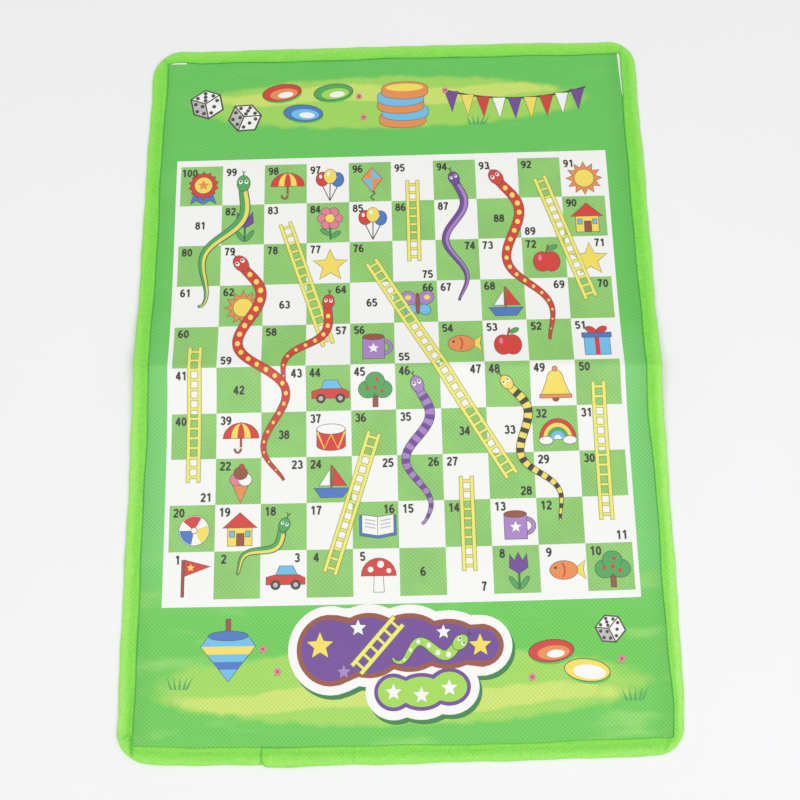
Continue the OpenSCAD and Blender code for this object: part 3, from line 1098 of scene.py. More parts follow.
def make_threads(name, starts, ends, half_w, half_t, arch, finish):
    """Short rounded bars from start to end, given as flat x, flat y and height: six-sided rings whose
    size swells from the ends to the middle, lifted along the bar as an arch."""
    rings = np.array([0.0, 0.08, 0.3, 0.7, 0.92, 1.0])
    swell = np.array([0.3, 0.72, 1.0, 1.0, 0.72, 0.3])
    turns = np.radians(np.arange(0, 360, 60))[::-1]
    t = rings[None, :, None]
    spine = starts[:, None, :] * (1.0 - t) + ends[:, None, :] * t
    ahead = ends[:, :2] - starts[:, :2]
    reach = np.linalg.norm(ahead, axis=1, keepdims=True)
    ahead = ahead / reach
    side = np.stack([ahead[:, 1], -ahead[:, 0]], axis=-1)
    wide = half_w * swell[None, :, None] * np.cos(turns)[None, None, :]
    high = half_t * swell[None, :, None] * np.sin(turns)[None, None, :]
    arched = arch * (4.0 * rings * (1.0 - rings))[None, :, None]
    x = spine[:, :, 0, None] + side[:, None, None, 0] * wide
    y = spine[:, :, 1, None] + side[:, None, None, 1] * wide
    z = spine[:, :, 2, None] + high + arched
    flat = np.stack(np.broadcast_arrays(reach[:, None] * t, turns[None, None, :], z), axis=-1)
    count, down, across = x.shape
    first = np.arange(count)[:, None, None] * (down * across)
    quads = (first + grid_faces(down, across, close_across=True)[None]).reshape(-1, 4)
    cap = np.arange(across)
    low = (first[:, 0] + cap[::-1]).reshape(-1, across)
    high_end = (first[:, 0] + (down - 1) * across + cap).reshape(-1, across)
    faces = quads.tolist() + low.tolist() + high_end.tolist()
    return make_piece(name, laid(x, y, z), faces, [finish], flat)


def seam_bars(path, shift):
    """Where each stitch of the seam starts and ends, as flat x and y."""
    first = (np.arange(path.stitches) + shift) * path.pitch
    half = (path.pitch - sizes().stitch_gap) / 2
    return path.at(first - half), path.at(first + half)


def with_height(points, height):
    """Flat points with a height as a third number."""
    return np.concatenate([points, np.broadcast_to(height, len(points))[:, None]], axis=1)


# Inks


def oval(x, y, rx, ry, turn=0.0, points=22):
    """An ellipse as an outline."""
    angle = np.linspace(0.0, TURN, points, endpoint=False)
    flat = np.stack([rx * np.cos(angle), ry * np.sin(angle)], axis=-1)
    c, s = math.cos(turn), math.sin(turn)
    return flat @ np.array([[c, s], [-s, c]]) + np.array([x, y])


def bow(x, y, rx, ry, low, high, points=13):
    """Part of an ellipse from one angle to another, in degrees."""
    angle = np.radians(np.linspace(low, high, points))
    return np.stack([x + rx * np.cos(angle), y + ry * np.sin(angle)], axis=-1)


def burst(x, y, outer, inner, points, turn=90.0):
    """A star outline with its points on two circles by turns."""
    angle = math.radians(turn) + np.arange(2 * points) * math.pi / points
    radius = np.where(np.arange(2 * points) % 2 == 0, outer, inner)
    return np.stack([x + radius * np.cos(angle), y + radius * np.sin(angle)], axis=-1)


def grown(outline, by):
    """An outline moved outwards, each point along the mean of its two edges' normals."""
    x, y = outline.T
    if np.sum(x * np.roll(y, -1) - y * np.roll(x, -1)) < 0:
        outline = outline[::-1]
    after = np.roll(outline, -1, axis=0) - outline
    after = after / np.maximum(np.linalg.norm(after, axis=1, keepdims=True), 1e-9)
    normal = np.stack([after[:, 1], -after[:, 0]], axis=-1)
    both = normal + np.roll(normal, 1, axis=0)
    return outline + by * 2.0 * both / np.maximum(np.sum(both * both, axis=1, keepdims=True), 0.8)


def sideways(path):
    """Unit normals to the left along a path."""
    ahead = np.gradient(path, axis=0)
    ahead = ahead / np.linalg.norm(ahead, axis=1, keepdims=True)
    return np.stack([-ahead[:, 1], ahead[:, 0]], axis=-1)


class Print:
    """Flat ink shapes in mm from the middle of the squares, each with its ink and layer, as one piece."""

    def __init__(self, name):
        self.name = name
        self.points = []
        self.faces = []
        self.inks = []
        self.count = 0

    def add(self, points, faces, ink, layer):
        rise = FILM_TOP + INK_BASE + layer * INK_STEP
        self.points.append(np.concatenate([points, np.full((len(points), 1), rise)], axis=1))
        self.faces += [[self.count + k for k in face] for face in faces]
        self.inks += [INKS.index(ink)] * len(faces)
        self.count += len(points)

    def patch(self, outline, ink, layer):
        """A filled outline."""
        self.add(np.asarray(outline, dtype=float), [list(range(len(outline)))], ink, layer)

    def ribbon(self, path, half, ink, layer):
        """A strip along a path, with a half width that may vary."""
        path = np.asarray(path, dtype=float)
        side = sideways(path) * np.broadcast_to(half, len(path))[:, None]
        both = np.stack([path + side, path - side], axis=1).reshape(-1, 2)
        self.add(both, grid_faces(len(path), 2).tolist(), ink, layer)

    def lay(self):
        """Turns and shifts the shapes onto the cloth, cuts them where the crease bends them, lays them on
        the mat and gives them the thickness of an ink film."""
        s = sizes()
        c, k = math.cos(s.print_turn), math.sin(s.print_turn)
        points = np.concatenate(self.points)
        px = points[:, 0] - math.tan(s.print_lean) * points[:, 1]
        x = (c * px - k * points[:, 1]) / MM_PER_M - s.print_left
        y = (k * px + c * points[:, 1]) / MM_PER_M + s.print_shift
        mesh = bpy.data.meshes.new(self.name)
        mesh.from_pydata(np.stack([x, y, points[:, 2]], axis=-1).tolist(), [], self.faces)
        mesh.polygons.foreach_set("material_index", self.inks)
        cut = bmesh.new()
        cut.from_mesh(mesh)
        bmesh.ops.reverse_faces(cut, faces=[face for face in cut.faces if face.normal.z < 0.0])
        across = Vector((math.sin(s.crease_skew), math.cos(s.crease_skew), 0.0))
        offsets = np.unique(np.concatenate([-INK_CUTS, INK_CUTS])).tolist()
        cuts = [(across, CREASE_Y - CREST_SHIFT, offset) for offset in offsets]
        cuts += [(Vector((0.0, 1.0, 0.0)), CREASE_Y, offset) for offset in (-BRIDGE, BRIDGE)]
        for facing, start, offset in cuts:
            place = Vector((0.0, start, 0.0)) + facing * offset
            geometry = cut.verts[:] + cut.edges[:] + cut.faces[:]
            bmesh.ops.bisect_plane(cut, geom=geometry, plane_co=place, plane_no=facing, dist=1e-7)
        cut.to_mesh(mesh)
        cut.free()
        flat = np.empty(len(mesh.vertices) * 3, dtype=np.float32)
        mesh.vertices.foreach_get("co", flat)
        flat = flat.reshape(-1, 3).astype(float)
        keep_flat(mesh, flat * [1.0, 1.0, 0.0])
        mesh.vertices.foreach_set("co", laid(*flat.T).astype(np.float32).ravel())
        mesh.update()
        for ink in INKS:
            mesh.materials.append(finish_of(ink))
        piece = bpy.data.objects.new(self.name, mesh)
        bpy.context.scene.collection.objects.link(piece)
        thicken(piece, INK_T)
        bend_with_fold(piece)


def finish_of(ink):
    """The ink's material, made once."""
    return bpy.data.materials.get(ink + "_ink") or ink_finish(ink)


class Pen:
    """Draws a picture in shares of its half size, each shape over the last, with a dark line round it."""

    def __init__(self, sheet, x, y, half, layer=1, edge=0.22):
        self.sheet = sheet
        self.at = np.array([x, y])
        self.half = half
        self.layer = layer
        self.edge = edge

    def spot(self, points):
        return self.at + self.half * np.asarray(points, dtype=float)

    def fill(self, outline, ink, line="line"):
        outline = self.spot(outline)
        if line:
            self.sheet.patch(grown(outline, self.edge), line, self.layer)
            self.layer += 1
        self.sheet.patch(outline, ink, self.layer)
        self.layer += 1

    def disc(self, x, y, rx, ry, ink, line="line", turn=0.0):
        self.fill(oval(x, y, rx, ry, math.radians(turn)), ink, line)

    def stroke(self, path, half, ink, line=None):
        path = self.spot(path)
        if line:
            self.sheet.ribbon(path, half * self.half + self.edge, line, self.layer)
            self.layer += 1
        self.sheet.ribbon(path, half * self.half, ink, self.layer)
        self.layer += 1


def box(left, low, right, high):
    return [(left, low), (right, low), (right, high), (left, high)]


def draw_rosette(p):
    p.fill([(-0.45, -0.2), (-0.7, -0.95), (-0.35, -0.75), (-0.05, -0.95), (0.0, -0.2)], "blue")
    p.fill([(0.45, -0.2), (0.7, -0.95), (0.35, -0.75), (0.05, -0.95), (0.0, -0.2)], "blue")
    p.fill(burst(0, 0.15, 0.8, 0.66, 14), "red")
    p.disc(0, 0.15, 0.48, 0.48, "gold")
    p.fill(burst(0, 0.15, 0.34, 0.15, 5), "orange", None)


def draw_umbrella(p):
    p.stroke([(0, 0.8), (0, -0.5)], 0.06, "brown")
    p.stroke(bow(-0.16, -0.55, 0.16, 0.22, 0, -180), 0.06, "brown")
    p.fill(bow(0, -0.02, 0.9, 0.78, 0, 180), "red")
    p.fill(bow(0, -0.02, 0.5, 0.76, 0, 180), "gold", None)
    p.fill(bow(0, -0.02, 0.18, 0.75, 0, 180), "red", None)


def draw_kite(p):
    p.stroke([(0.0, -0.3), (0.15, -0.6), (-0.1, -0.8), (0.1, -1.0)], 0.04, "line")
    p.fill([(0, 0.95), (0.55, 0.3), (0, -0.5), (-0.55, 0.3)], "orange")
    p.fill([(0, 0.9), (0.5, 0.3), (0, 0.3)], "sky", None)
    p.fill([(0, 0.3), (-0.5, 0.3), (0, -0.44)], "sky", None)


def draw_sun(p):
    p.fill(burst(0, 0, 0.95, 0.62, 12), "orange")
    p.disc(0, 0, 0.52, 0.52, "gold")


def draw_house(p):
    p.fill(box(-0.6, -0.8, 0.6, 0.15), "gold")
    p.fill([(-0.85, 0.1), (0.85, 0.1), (0, 0.85)], "red")
    p.fill(box(-0.15, -0.8, 0.2, -0.2), "brown")
    p.fill(box(0.3, -0.35, 0.5, -0.08), "sky")
    p.fill(box(-0.5, -0.35, -0.28, -0.08), "sky")


def draw_balloons(p):
    for x, y, ink in ((-0.4, 0.35, "red"), (0.42, 0.3, "blue"), (0.02, 0.5, "gold")):
        p.stroke([(x, y - 0.4), (0.0, -0.95)], 0.025, "line")
        p.disc(x, y, 0.34, 0.42, ink)
        p.disc(x - 0.1, y + 0.15, 0.08, 0.12, "white", None)


def draw_flower(p):
    p.stroke([(0, 0.1), (0.03, -0.9)], 0.06, "moss")
    p.disc(0.3, -0.6, 0.3, 0.13, "leaf", turn=35)
    p.disc(-0.26, -0.45, 0.28, 0.12, "leaf", turn=145)
    for turn in np.arange(6) * TURN / 6:
        p.disc(0.42 * math.cos(turn), 0.35 + 0.42 * math.sin(turn), 0.25, 0.25, "pink")
    p.disc(0, 0.35, 0.25, 0.25, "gold")


def draw_tulip(p):
    p.stroke([(0, 0.0), (0, -0.9)], 0.06, "moss")
    p.disc(0.26, -0.55, 0.36, 0.11, "leaf", turn=55)
    p.disc(-0.26, -0.55, 0.36, 0.11, "leaf", turn=125)
    cup = [(-0.42, 0.85), (-0.45, 0.2), (0, -0.1), (0.45, 0.2), (0.42, 0.85)]
    p.fill(cup + [(0.2, 0.5), (0, 0.9), (-0.2, 0.5)], "purple")


def draw_star(p):
    p.fill(burst(0, -0.05, 0.95, 0.4, 5), "gold")


def draw_boat(p):
    p.stroke([(0, 0.85), (0, -0.35)], 0.05, "brown")
    p.fill([(0.08, 0.8), (0.75, -0.2), (0.08, -0.2)], "red")
    p.fill([(-0.08, 0.6), (-0.6, -0.2), (-0.08, -0.2)], "white")
    p.fill([(-0.85, -0.35), (0.9, -0.35), (0.55, -0.8), (-0.55, -0.8)], "blue")


def draw_butterfly(p):
    for side in (-1, 1):
        p.disc(side * 0.45, 0.32, 0.42, 0.36, "lilac", turn=side * 35)
        p.disc(side * 0.36, -0.36, 0.32, 0.28, "sky", turn=-side * 35)
        p.disc(side * 0.5, 0.34, 0.16, 0.14, "gold", None)
    p.disc(0, 0, 0.09, 0.6, "brown")


def draw_fish(p):
    p.fill([(0.4, 0.0), (0.95, 0.45), (0.85, 0.0), (0.95, -0.45)], "gold")
    p.disc(-0.1, 0, 0.68, 0.45, "orange")
    p.stroke(bow(-0.25, 0, 0.2, 0.36, -70, 70), 0.04, "red")
    p.disc(-0.5, 0.12, 0.07, 0.07, "line", None)


def draw_apple(p):
    p.stroke([(0, 0.35), (0.12, 0.85)], 0.05, "brown")
    p.disc(0.36, 0.68, 0.26, 0.12, "leaf", turn=25)
    p.disc(-0.24, -0.12, 0.46, 0.56, "red")
    p.disc(0.24, -0.12, 0.46, 0.56, "red")
    p.disc(0, -0.1, 0.3, 0.46, "red", None)
    p.disc(-0.34, 0.1, 0.1, 0.18, "pink", None)


def draw_gift(p):
    p.fill(box(-0.65, -0.8, 0.65, 0.3), "sky")
    p.fill(box(-0.12, -0.8, 0.12, 0.3), "red", None)
    p.fill(box(-0.75, 0.2, 0.75, 0.45), "blue")
    p.disc(-0.28, 0.62, 0.28, 0.16, "red", turn=-25)
    p.disc(0.28, 0.62, 0.28, 0.16, "red", turn=25)


def draw_car(p):
    p.fill([(-0.5, 0.0), (-0.3, 0.5), (0.35, 0.5), (0.6, 0.0)], "sky")
    p.fill([(-0.95, -0.4), (-0.95, -0.05), (-0.55, 0.06), (0.65, 0.06), (0.95, -0.1), (0.95, -0.4)], "red")
    for x in (-0.5, 0.5):
        p.disc(x, -0.42, 0.25, 0.25, "line", None)
        p.disc(x, -0.42, 0.12, 0.12, "grey", None)


def draw_tree(p):
    p.fill(box(-0.12, -0.9, 0.12, -0.2), "brown")
    for x, y in ((-0.38, 0.0), (0.38, 0.0), (0.0, 0.42)):
        p.disc(x, y, 0.48, 0.44, "leaf")
    p.disc(0, 0.1, 0.4, 0.32, "leaf", None)
    for x, y in ((-0.4, 0.05), (0.35, -0.1), (0.1, 0.5), (0.0, 0.1)):
        p.disc(x, y, 0.1, 0.1, "red", None)


def draw_bell(p):
    p.disc(0, -0.68, 0.16, 0.16, "brown")
    p.fill(np.concatenate([bow(0, 0.25, 0.42, 0.5, 0, 180), [(-0.75, -0.55), (0.75, -0.55)]]), "gold")
    p.fill(box(-0.8, -0.66, 0.8, -0.5), "orange")
    p.disc(0, 0.82, 0.12, 0.12, "orange")


def draw_drum(p):
    foot = bow(0, -0.5, 0.72, 0.25, 180, 360)
    p.fill(np.concatenate([foot, bow(0, 0.35, 0.72, 0.25, 0, 1), [(-0.72, 0.35)]]), "red")
    p.stroke([(-0.7, 0.2), (-0.35, -0.66), (0.0, 0.08), (0.35, -0.66), (0.7, 0.2)], 0.045, "gold")
    p.disc(0, 0.35, 0.72, 0.25, "white")


def draw_rainbow(p):
    for radius, ink in ((0.92, "red"), (0.74, "gold"), (0.56, "leaf"), (0.38, "sky")):
        p.fill(bow(0, -0.45, radius, radius * 1.15, 0, 180), ink, "line" if radius > 0.9 else None)
    p.fill(bow(0, -0.45, 0.2, 0.22, 0, 180), "white", None)
    for x in (-0.6, 0.6):
        p.disc(x, -0.5, 0.34, 0.2, "white")


def draw_cone(p):
    p.fill([(-0.42, 0.0), (0.42, 0.0), (0.0, -0.98)], "orange")
    p.disc(-0.2, 0.2, 0.34, 0.32, "pink")
    p.disc(0.22, 0.2, 0.34, 0.32, "white")
    p.disc(0, 0.52, 0.34, 0.32, "brown")
    p.disc(0.05, 0.86, 0.12, 0.12, "red")


def draw_ball(p):
    p.disc(0, 0, 0.75, 0.75, "white")
    for low, ink in ((60, "red"), (180, "blue"), (300, "gold")):
        p.fill(np.concatenate([bow(0, 0, 0.72, 0.72, low, low + 80), [(0, 0)]]), ink, None)
    p.disc(0, 0, 0.14, 0.14, "white")


def draw_book(p):
    p.fill([(0, -0.55), (-0.9, -0.4), (-0.9, 0.6), (0, 0.45), (0.9, 0.6), (0.9, -0.4)], "blue")
    p.fill([(0, -0.42), (-0.78, -0.28), (-0.78, 0.62), (0, 0.5)], "white")
    p.fill([(0, -0.42), (0.78, -0.28), (0.78, 0.62), (0, 0.5)], "white")
    for y in (0.3, 0.12, -0.06):
        p.stroke([(-0.65, y + 0.1), (-0.12, y)], 0.03, "grey")
        p.stroke([(0.65, y + 0.1), (0.12, y)], 0.03, "grey")


def draw_mug(p):
    p.stroke(bow(0.45, -0.1, 0.4, 0.36, -90, 90), 0.09, "lilac", "line")
    p.fill(box(-0.6, -0.75, 0.5, 0.5), "lilac")
    p.disc(-0.05, 0.5, 0.55, 0.16, "brown")
    p.fill(burst(-0.05, -0.15, 0.3, 0.13, 5), "white", None)


def draw_mushroom(p):
    p.fill([(-0.25, -0.85), (0.25, -0.85), (0.2, 0.1), (-0.2, 0.1)], "white")
    p.fill(bow(0, -0.05, 0.85, 0.85, 0, 180), "red")
    for x, y, r in ((-0.4, 0.25, 0.14), (0.1, 0.5, 0.17), (0.5, 0.18, 0.12)):
        p.disc(x, y, r, r, "white", None)


def draw_flag(p):
    p.stroke([(-0.5, 0.9), (-0.5, -0.95)], 0.06, "brown", "line")
    p.fill([(-0.42, 0.88), (0.85, 0.55), (-0.42, 0.1)], "red")
    p.fill(burst(-0.12, 0.5, 0.2, 0.09, 5), "gold", None)


PICTURES = {
    100: draw_rosette, 98: draw_umbrella, 96: draw_kite, 91: draw_sun, 90: draw_house, 85: draw_balloons,
    84: draw_flower, 77: draw_star, 68: draw_boat, 66: draw_butterfly, 54: draw_fish, 53: draw_apple,
    51: draw_gift, 44: draw_car, 45: draw_tree, 49: draw_bell, 37: draw_drum, 32: draw_rainbow,
    22: draw_cone, 20: draw_ball, 16: draw_book, 13: draw_mug, 1: draw_flag, 5: draw_mushroom,
    8: draw_tulip, 10: draw_tree, 82: draw_tulip, 72: draw_apple, 71: draw_star, 39: draw_umbrella,
    56: draw_mug, 9: draw_fish, 3: draw_car, 97: draw_balloons, 19: draw_house, 62: draw_sun,
    24: draw_boat,
}

# Half size of a square's picture, and its shift from the middle
PICTURE_HALF = 8.3
PICTURE_SHIFT = np.array([0.9, -0.9])

# Ladders: squares of foot and top. Snakes: squares of head and tail, waves, swing, half width, inks, style
LADDERS = ((28, 76), (70, 92), (21, 60), (4, 36), (7, 27), (57, 83), (75, 95), (11, 50))
SNAKES = (
    (79, 23, 2.0, 8.5, 2.2, "red", "spots", "gold"),
    (93, 52, 1.5, 7.0, 2.1, "red", "spots", "gold"),
    (99, 61, 1.2, 6.0, 2.1, "leaf", "belly", "gold"),
    (46, 15, 1.4, 6.0, 1.9, "lilac", "bands", "purple"),
    (48, 12, 1.5, 5.5, 1.7, "gold", "bands", "number"),
    (18, 2, 1.0, 4.0, 1.6, "leaf", "belly", "gold"),
    (94, 67, 1.5, 5.0, 1.7, "purple", "belly", "lilac"),
    (64, 43, 1.0, 5.5, 1.8, "red", "spots", "gold"),
)

# Their layers among the inks, the lines round them, and a ladder's rungs: step and half width
LADDER_LAYER = 15
SNAKE_LAYER = 20
LADDER_EDGE = 0.24
SNAKE_EDGE = 0.25
RUNG_PACE = 4.1
RUNG_HALF = 0.45


def square_middle(number):
    """Middle of a square in mm: rows of ten from the bottom, by turns to the right and to the left."""
    row, step = divmod(number - 1, 10)
    column = step if row % 2 == 0 else 9 - step
    s = sizes()
    return np.array([(column - 4.5) * s.square_width, (row - 4.5) * s.square_height]) * MM_PER_M


def snake_spine(start, end, waves, swing):
    """A straight line from head to tail with a sine across it that dies away at both ends."""
    t = np.linspace(0.0, 1.0, 84)[:, None]
    ahead = end - start
    side = np.array([-ahead[1], ahead[0]]) / np.linalg.norm(ahead)
    return start + ahead * t + side * swing * np.sin(TURN * waves * t) * np.sin(math.pi * t) ** 0.4


def draw_snake(sheet, spine, half, body, style, second, layer):
    """A tapering body with spots, bands or a pale belly, a head with two eyes, and a forked tongue."""
    t = np.linspace(0.0, 1.0, len(spine))
    wide = half * (1.0 - 0.82 * t**2.2) * (0.86 + 0.14 * np.minimum(1.0, t * 8.0))
    sheet.ribbon(spine, wide + SNAKE_EDGE, "line", layer)
    sheet.ribbon(spine, wide, body, layer + 1)
    steps = np.linalg.norm(np.diff(spine, axis=0), axis=1)
    along = np.concatenate([[0.0], np.cumsum(steps)])

    def between(first, last, points):
        """The part of the body from one distance to another, and its half widths."""
        at = np.linspace(first, last, points)
        path = np.stack([np.interp(at, along, spine[:, 0]), np.interp(at, along, spine[:, 1])], axis=-1)
        return path, np.interp(at, along, wide)

    if style == "spots":
        for distance in np.arange(6.0, along[-1] - 4.0, 4.6):
            path, width = between(distance, distance + 0.1, 2)
            sheet.patch(oval(*path[0], 0.55 * width[0], 0.62 * width[0], points=12), second, layer + 2)
    elif style == "bands":
        for distance in np.arange(4.5, along[-1] - 1.5, 4.4):
            path, width = between(distance, distance + 2.1, 5)
            sheet.ribbon(path, width, second, layer + 2)
    else:
        path, width = between(3.0, along[-1] - 1.0, 70)
        path = path + sideways(path) * width[:, None] * 0.45
        sheet.ribbon(path, width * 0.42, second, layer + 2)
    ahead = spine[0] - spine[4]
    ahead = ahead / np.linalg.norm(ahead)
    side = np.array([-ahead[1], ahead[0]])
    turn = math.atan2(ahead[1], ahead[0])
    head = spine[0] + ahead * 0.8
    tip = head + ahead * 1.75 * half
    sheet.ribbon([tip - ahead, tip + ahead * 1.6], 0.2, "line", layer)
    for sign in (-1.0, 1.0):
        sheet.ribbon([tip + ahead * 1.5, tip + ahead * 2.6 + side * sign * 0.8], 0.16, "line", layer)
    for ink, more, up in (("line", SNAKE_EDGE, 3), (body, 0.0, 4)):
        sheet.patch(oval(*head, 1.85 * half + more, 1.35 * half + more, turn), ink, layer + up)
    for sign in (-1.0, 1.0):
        eye = head + ahead * 0.35 * half + side * sign * 0.62 * half
        sheet.patch(oval(*eye, 0.5 * half, 0.42 * half, turn, 14), "white", layer + 5)
        pupil = eye + ahead * 0.14 * half
        sheet.patch(oval(*pupil, 0.24 * half, 0.24 * half, turn, 10), "line", layer + 6)


def draw_ladder(sheet, start, end, layer, half=2.25, rail=0.62):
    """Two rails and evenly spaced rungs, with a dark line round each."""
    ahead = (end - start) / np.linalg.norm(end - start)
    side = np.array([-ahead[1], ahead[0]])
    reach = np.linalg.norm(end - start)
    count = round(reach / RUNG_PACE)
    rungs = start + ahead * ((np.arange(count) + 0.5) * reach / count)[:, None]
    for ink, more, up in (("ladder_line", LADDER_EDGE, 0), ("ladder", 0.0, 1)):
        for rung in rungs:
            sheet.ribbon([rung - side * half, rung + side * half], RUNG_HALF + more, ink, layer + 2 * up)
        for sign in (-1.0, 1.0):
            shift = side * sign * half
            ends = [start + shift - ahead * more, end + shift + ahead * more]
            sheet.ribbon(ends, rail + more, ink, layer + 1 + 2 * up)


def ring(x, y, rx, ry):
    """A closed oval path."""
    return bow(x, y, rx, ry, 90, 450, 22)


# Strokes of plain digits, 1 high, as paths of their middle lines
DIGITS = {
    "0": [ring(0, 0, 0.2, 0.415)],
    "1": [[(0.06, -0.5), (0.06, 0.5)], [(0.08, 0.44), (-0.18, 0.24)]],
    "2": [
        np.concatenate([bow(0.0, 0.205, 0.2, 0.21, 170, -30), [(-0.2, -0.4)]]),
        [(-0.27, -0.415), (0.27, -0.415)],
    ],
    "3": [bow(0.0, 0.215, 0.18, 0.2, 160, -90), bow(0.0, -0.2, 0.21, 0.215, 90, -160)],
    "4": [[(0.1, -0.5), (0.1, 0.5)], [(0.1, 0.43), (-0.24, -0.16)], [(-0.29, -0.2), (0.29, -0.2)]],
    "5": [
        [(0.24, 0.415), (-0.2, 0.415)], [(-0.14, 0.46), (-0.2, -0.02)],
        bow(0.0, -0.17, 0.21, 0.245, 130, -155),
    ],
    "6": [ring(0.0, -0.18, 0.2, 0.235), bow(0.06, -0.1, 0.27, 0.515, 70, 185)],
    "7": [[(-0.27, 0.415), (0.27, 0.415)], [(0.2, 0.42), (0.05, 0.1), (-0.07, -0.5)]],
    "8": [ring(0.0, 0.22, 0.17, 0.195), ring(0.0, -0.19, 0.205, 0.225)],
    "9": [ring(0.0, 0.18, 0.2, 0.235), bow(-0.06, 0.1, 0.27, 0.515, 250, 365)],
}

# Half width of a stroke and step to the next digit, as shares of the height
DIGIT_HALF = 0.108
DIGIT_PACE = 0.66

# Room in mm that a number keeps: from ladders, snakes' bodies, their heads in half widths, and pictures
LADDER_ROOM = 3.1
SNAKE_ROOM = 0.4
HEAD_ROOM = 2.2
PICTURE_ROOM = 6.2

# Half width and height of a number in mm, and the places tried in a square, in that order
NUMBER_HALF = np.array([2.9, 1.9])
NUMBER_PLACES = np.array([
    (0, 0), (-5.6, 6.6), (5.6, 6.6), (5.6, -6.6), (-5.6, -6.6), (-5.6, 0), (5.6, 0),
])


def draw_number(sheet, at, number, high):
    """A number as strokes, its digits side by side."""
    text = str(number)
    for k, digit in enumerate(text):
        middle = at + np.array([(k - (len(text) - 1) / 2) * DIGIT_PACE * high, 0.0])
        for path in DIGITS[digit]:
            sheet.ribbon(middle + np.asarray(path, dtype=float) * high, DIGIT_HALF * high, "number", 0)


def busy_spots():
    """What a number keeps clear of: x, y and radius of spots on ladders, snakes and pictures."""
    spots = []
    share = np.linspace(0.0, 1.0, 60)[:, None]
    for foot, top in LADDERS:
        start, end = square_middle(foot), square_middle(top)
        spots.append(np.column_stack([start + (end - start) * share, np.full(len(share), LADDER_ROOM)]))
    for head, tail, waves, swing, half, *_ in SNAKES:
        spine = snake_spine(square_middle(head), square_middle(tail), waves, swing)
        spots.append(np.column_stack([spine, np.full(len(spine), half + SNAKE_ROOM)]))
        spots.append(np.append(spine[0], HEAD_ROOM * half)[None])
    for number in PICTURES:
        spots.append(np.append(square_middle(number) + PICTURE_SHIFT, PICTURE_ROOM)[None])
    return np.concatenate(spots)


def number_place(number, busy):
    """The first of a square's places that is clear, or the clearest one."""
    places = square_middle(number) + NUMBER_PLACES
    apart = np.abs(places[:, None, :] - busy[None, :, :2]) - NUMBER_HALF
    room = np.linalg.norm(np.maximum(apart, 0.0), axis=-1) - busy[None, :, 2]
    room = room.min(axis=1)
    return places[np.argmax(room > 0.0)] if (room > 0.0).any() else places[np.argmax(room)]


# Border pictures


# Pips on a die's faces, by their count: shares of the face's two sides from its middle
DIE_PIPS = {
    3: ((0, 0), (-0.26, -0.26), (0.26, 0.26)),
    4: ((-0.24, -0.24), (0.24, 0.24), (-0.24, 0.24), (0.24, -0.24)),
    5: ((0, 0), (-0.27, -0.27), (0.27, 0.27), (-0.27, 0.27), (0.27, -0.27)),
}

# Places in mm: dice with half size and turn, counters with their inks and turn, flowers, and grass
DICE = ((-85.0, 130.0, 9.2, 12.0), (-67.0, 122.5, 9.0, -20.0), (84.0, -113.0, 7.0, 25.0))
COUNTERS = (
    (-50.0, 135.0, "red", "orange", 8.0),
    (-40.0, 124.0, "blue", "sky", -5.0),
    (-26.0, 134.5, "leaf", "lime", 6.0),
    (60.0, -121.0, "red", "orange", 4.0),
    (74.0, -129.0, "gold", "white", -8.0),
)
SPRIGS = (
    (-12.0, 121.0), (26.0, 134.0), (-14.0, 132.0), (-50.0, -127.0), (-56.0, -118.0), (52.0, -131.0),
    (88.0, -125.0),
)
TUFTS = ((92.0, -139.0), (-90.0, -131.0), (40.0, 118.0))

# Ovals of the two cloud-shaped plaques, and the big one's stars with size and ink
BIG_CLOUD = (
    (-0.64, 0.1, 0.32, 0.33), (-0.28, 0.14, 0.34, 0.3), (0.1, 0.16, 0.34, 0.27), (0.46, 0.14, 0.32, 0.23),
    (0.76, 0.12, 0.22, 0.2),
)
SMALL_CLOUD = ((-0.06, -0.29, 0.18, 0.17), (0.2, -0.29, 0.24, 0.17), (0.46, -0.25, 0.2, 0.17))
STARS = (
    (-0.74, 0.14, 0.13, "gold"), (0.76, 0.12, 0.11, "gold"), (-0.38, 0.3, 0.08, "white"),
    (0.42, 0.25, 0.07, "white"), (-0.52, -0.1, 0.07, "lilac"),
)


def draw_die(p, turn):
    """A die seen from over one corner: three faces, each with its pips as ovals."""
    c, s = math.cos(math.radians(turn)), math.sin(math.radians(turn))
    spin = np.array([[c, s], [-s, c]])
    right = np.array([0.8, 0.34])
    left = np.array([-0.66, 0.4])
    up = np.array([0.0, 0.86])
    low = np.array([-0.06, -0.82])
    far = low + right + up
    whole = np.array([low, low + right, far, far + left, low + up + left, low + left])
    p.fill(grown(whole @ spin, 0.05), "line", None)
    faces = ((low, right, up, "white", 3), (low, left, up, "grey", 4), (low + up, right, left, "white", 5))
    for corner, one, two, ink, pips in faces:
        shape = np.array([corner, corner + one, corner + one + two, corner + two])
        middle = shape.mean(axis=0)
        p.fill((middle + (shape - middle) * 0.91) @ spin, ink, None)
        for a, b in DIE_PIPS[pips]:
            p.disc(*((middle + one * a + two * b) @ spin), 0.1, 0.1, "line", None)


def draw_counter(p, ink, pale, turn):
    """A glossy round counter seen at a slant, lighter towards one side."""
    p.disc(0.05, -0.1, 1.0, 0.5, "border_deep", None, turn)
    p.disc(0, 0, 1.0, 0.47, ink, "line", turn)
    p.disc(0.1, -0.08, 0.72, 0.31, pale, None, turn)
    p.disc(0.2, -0.13, 0.4, 0.17, "white", None, turn)


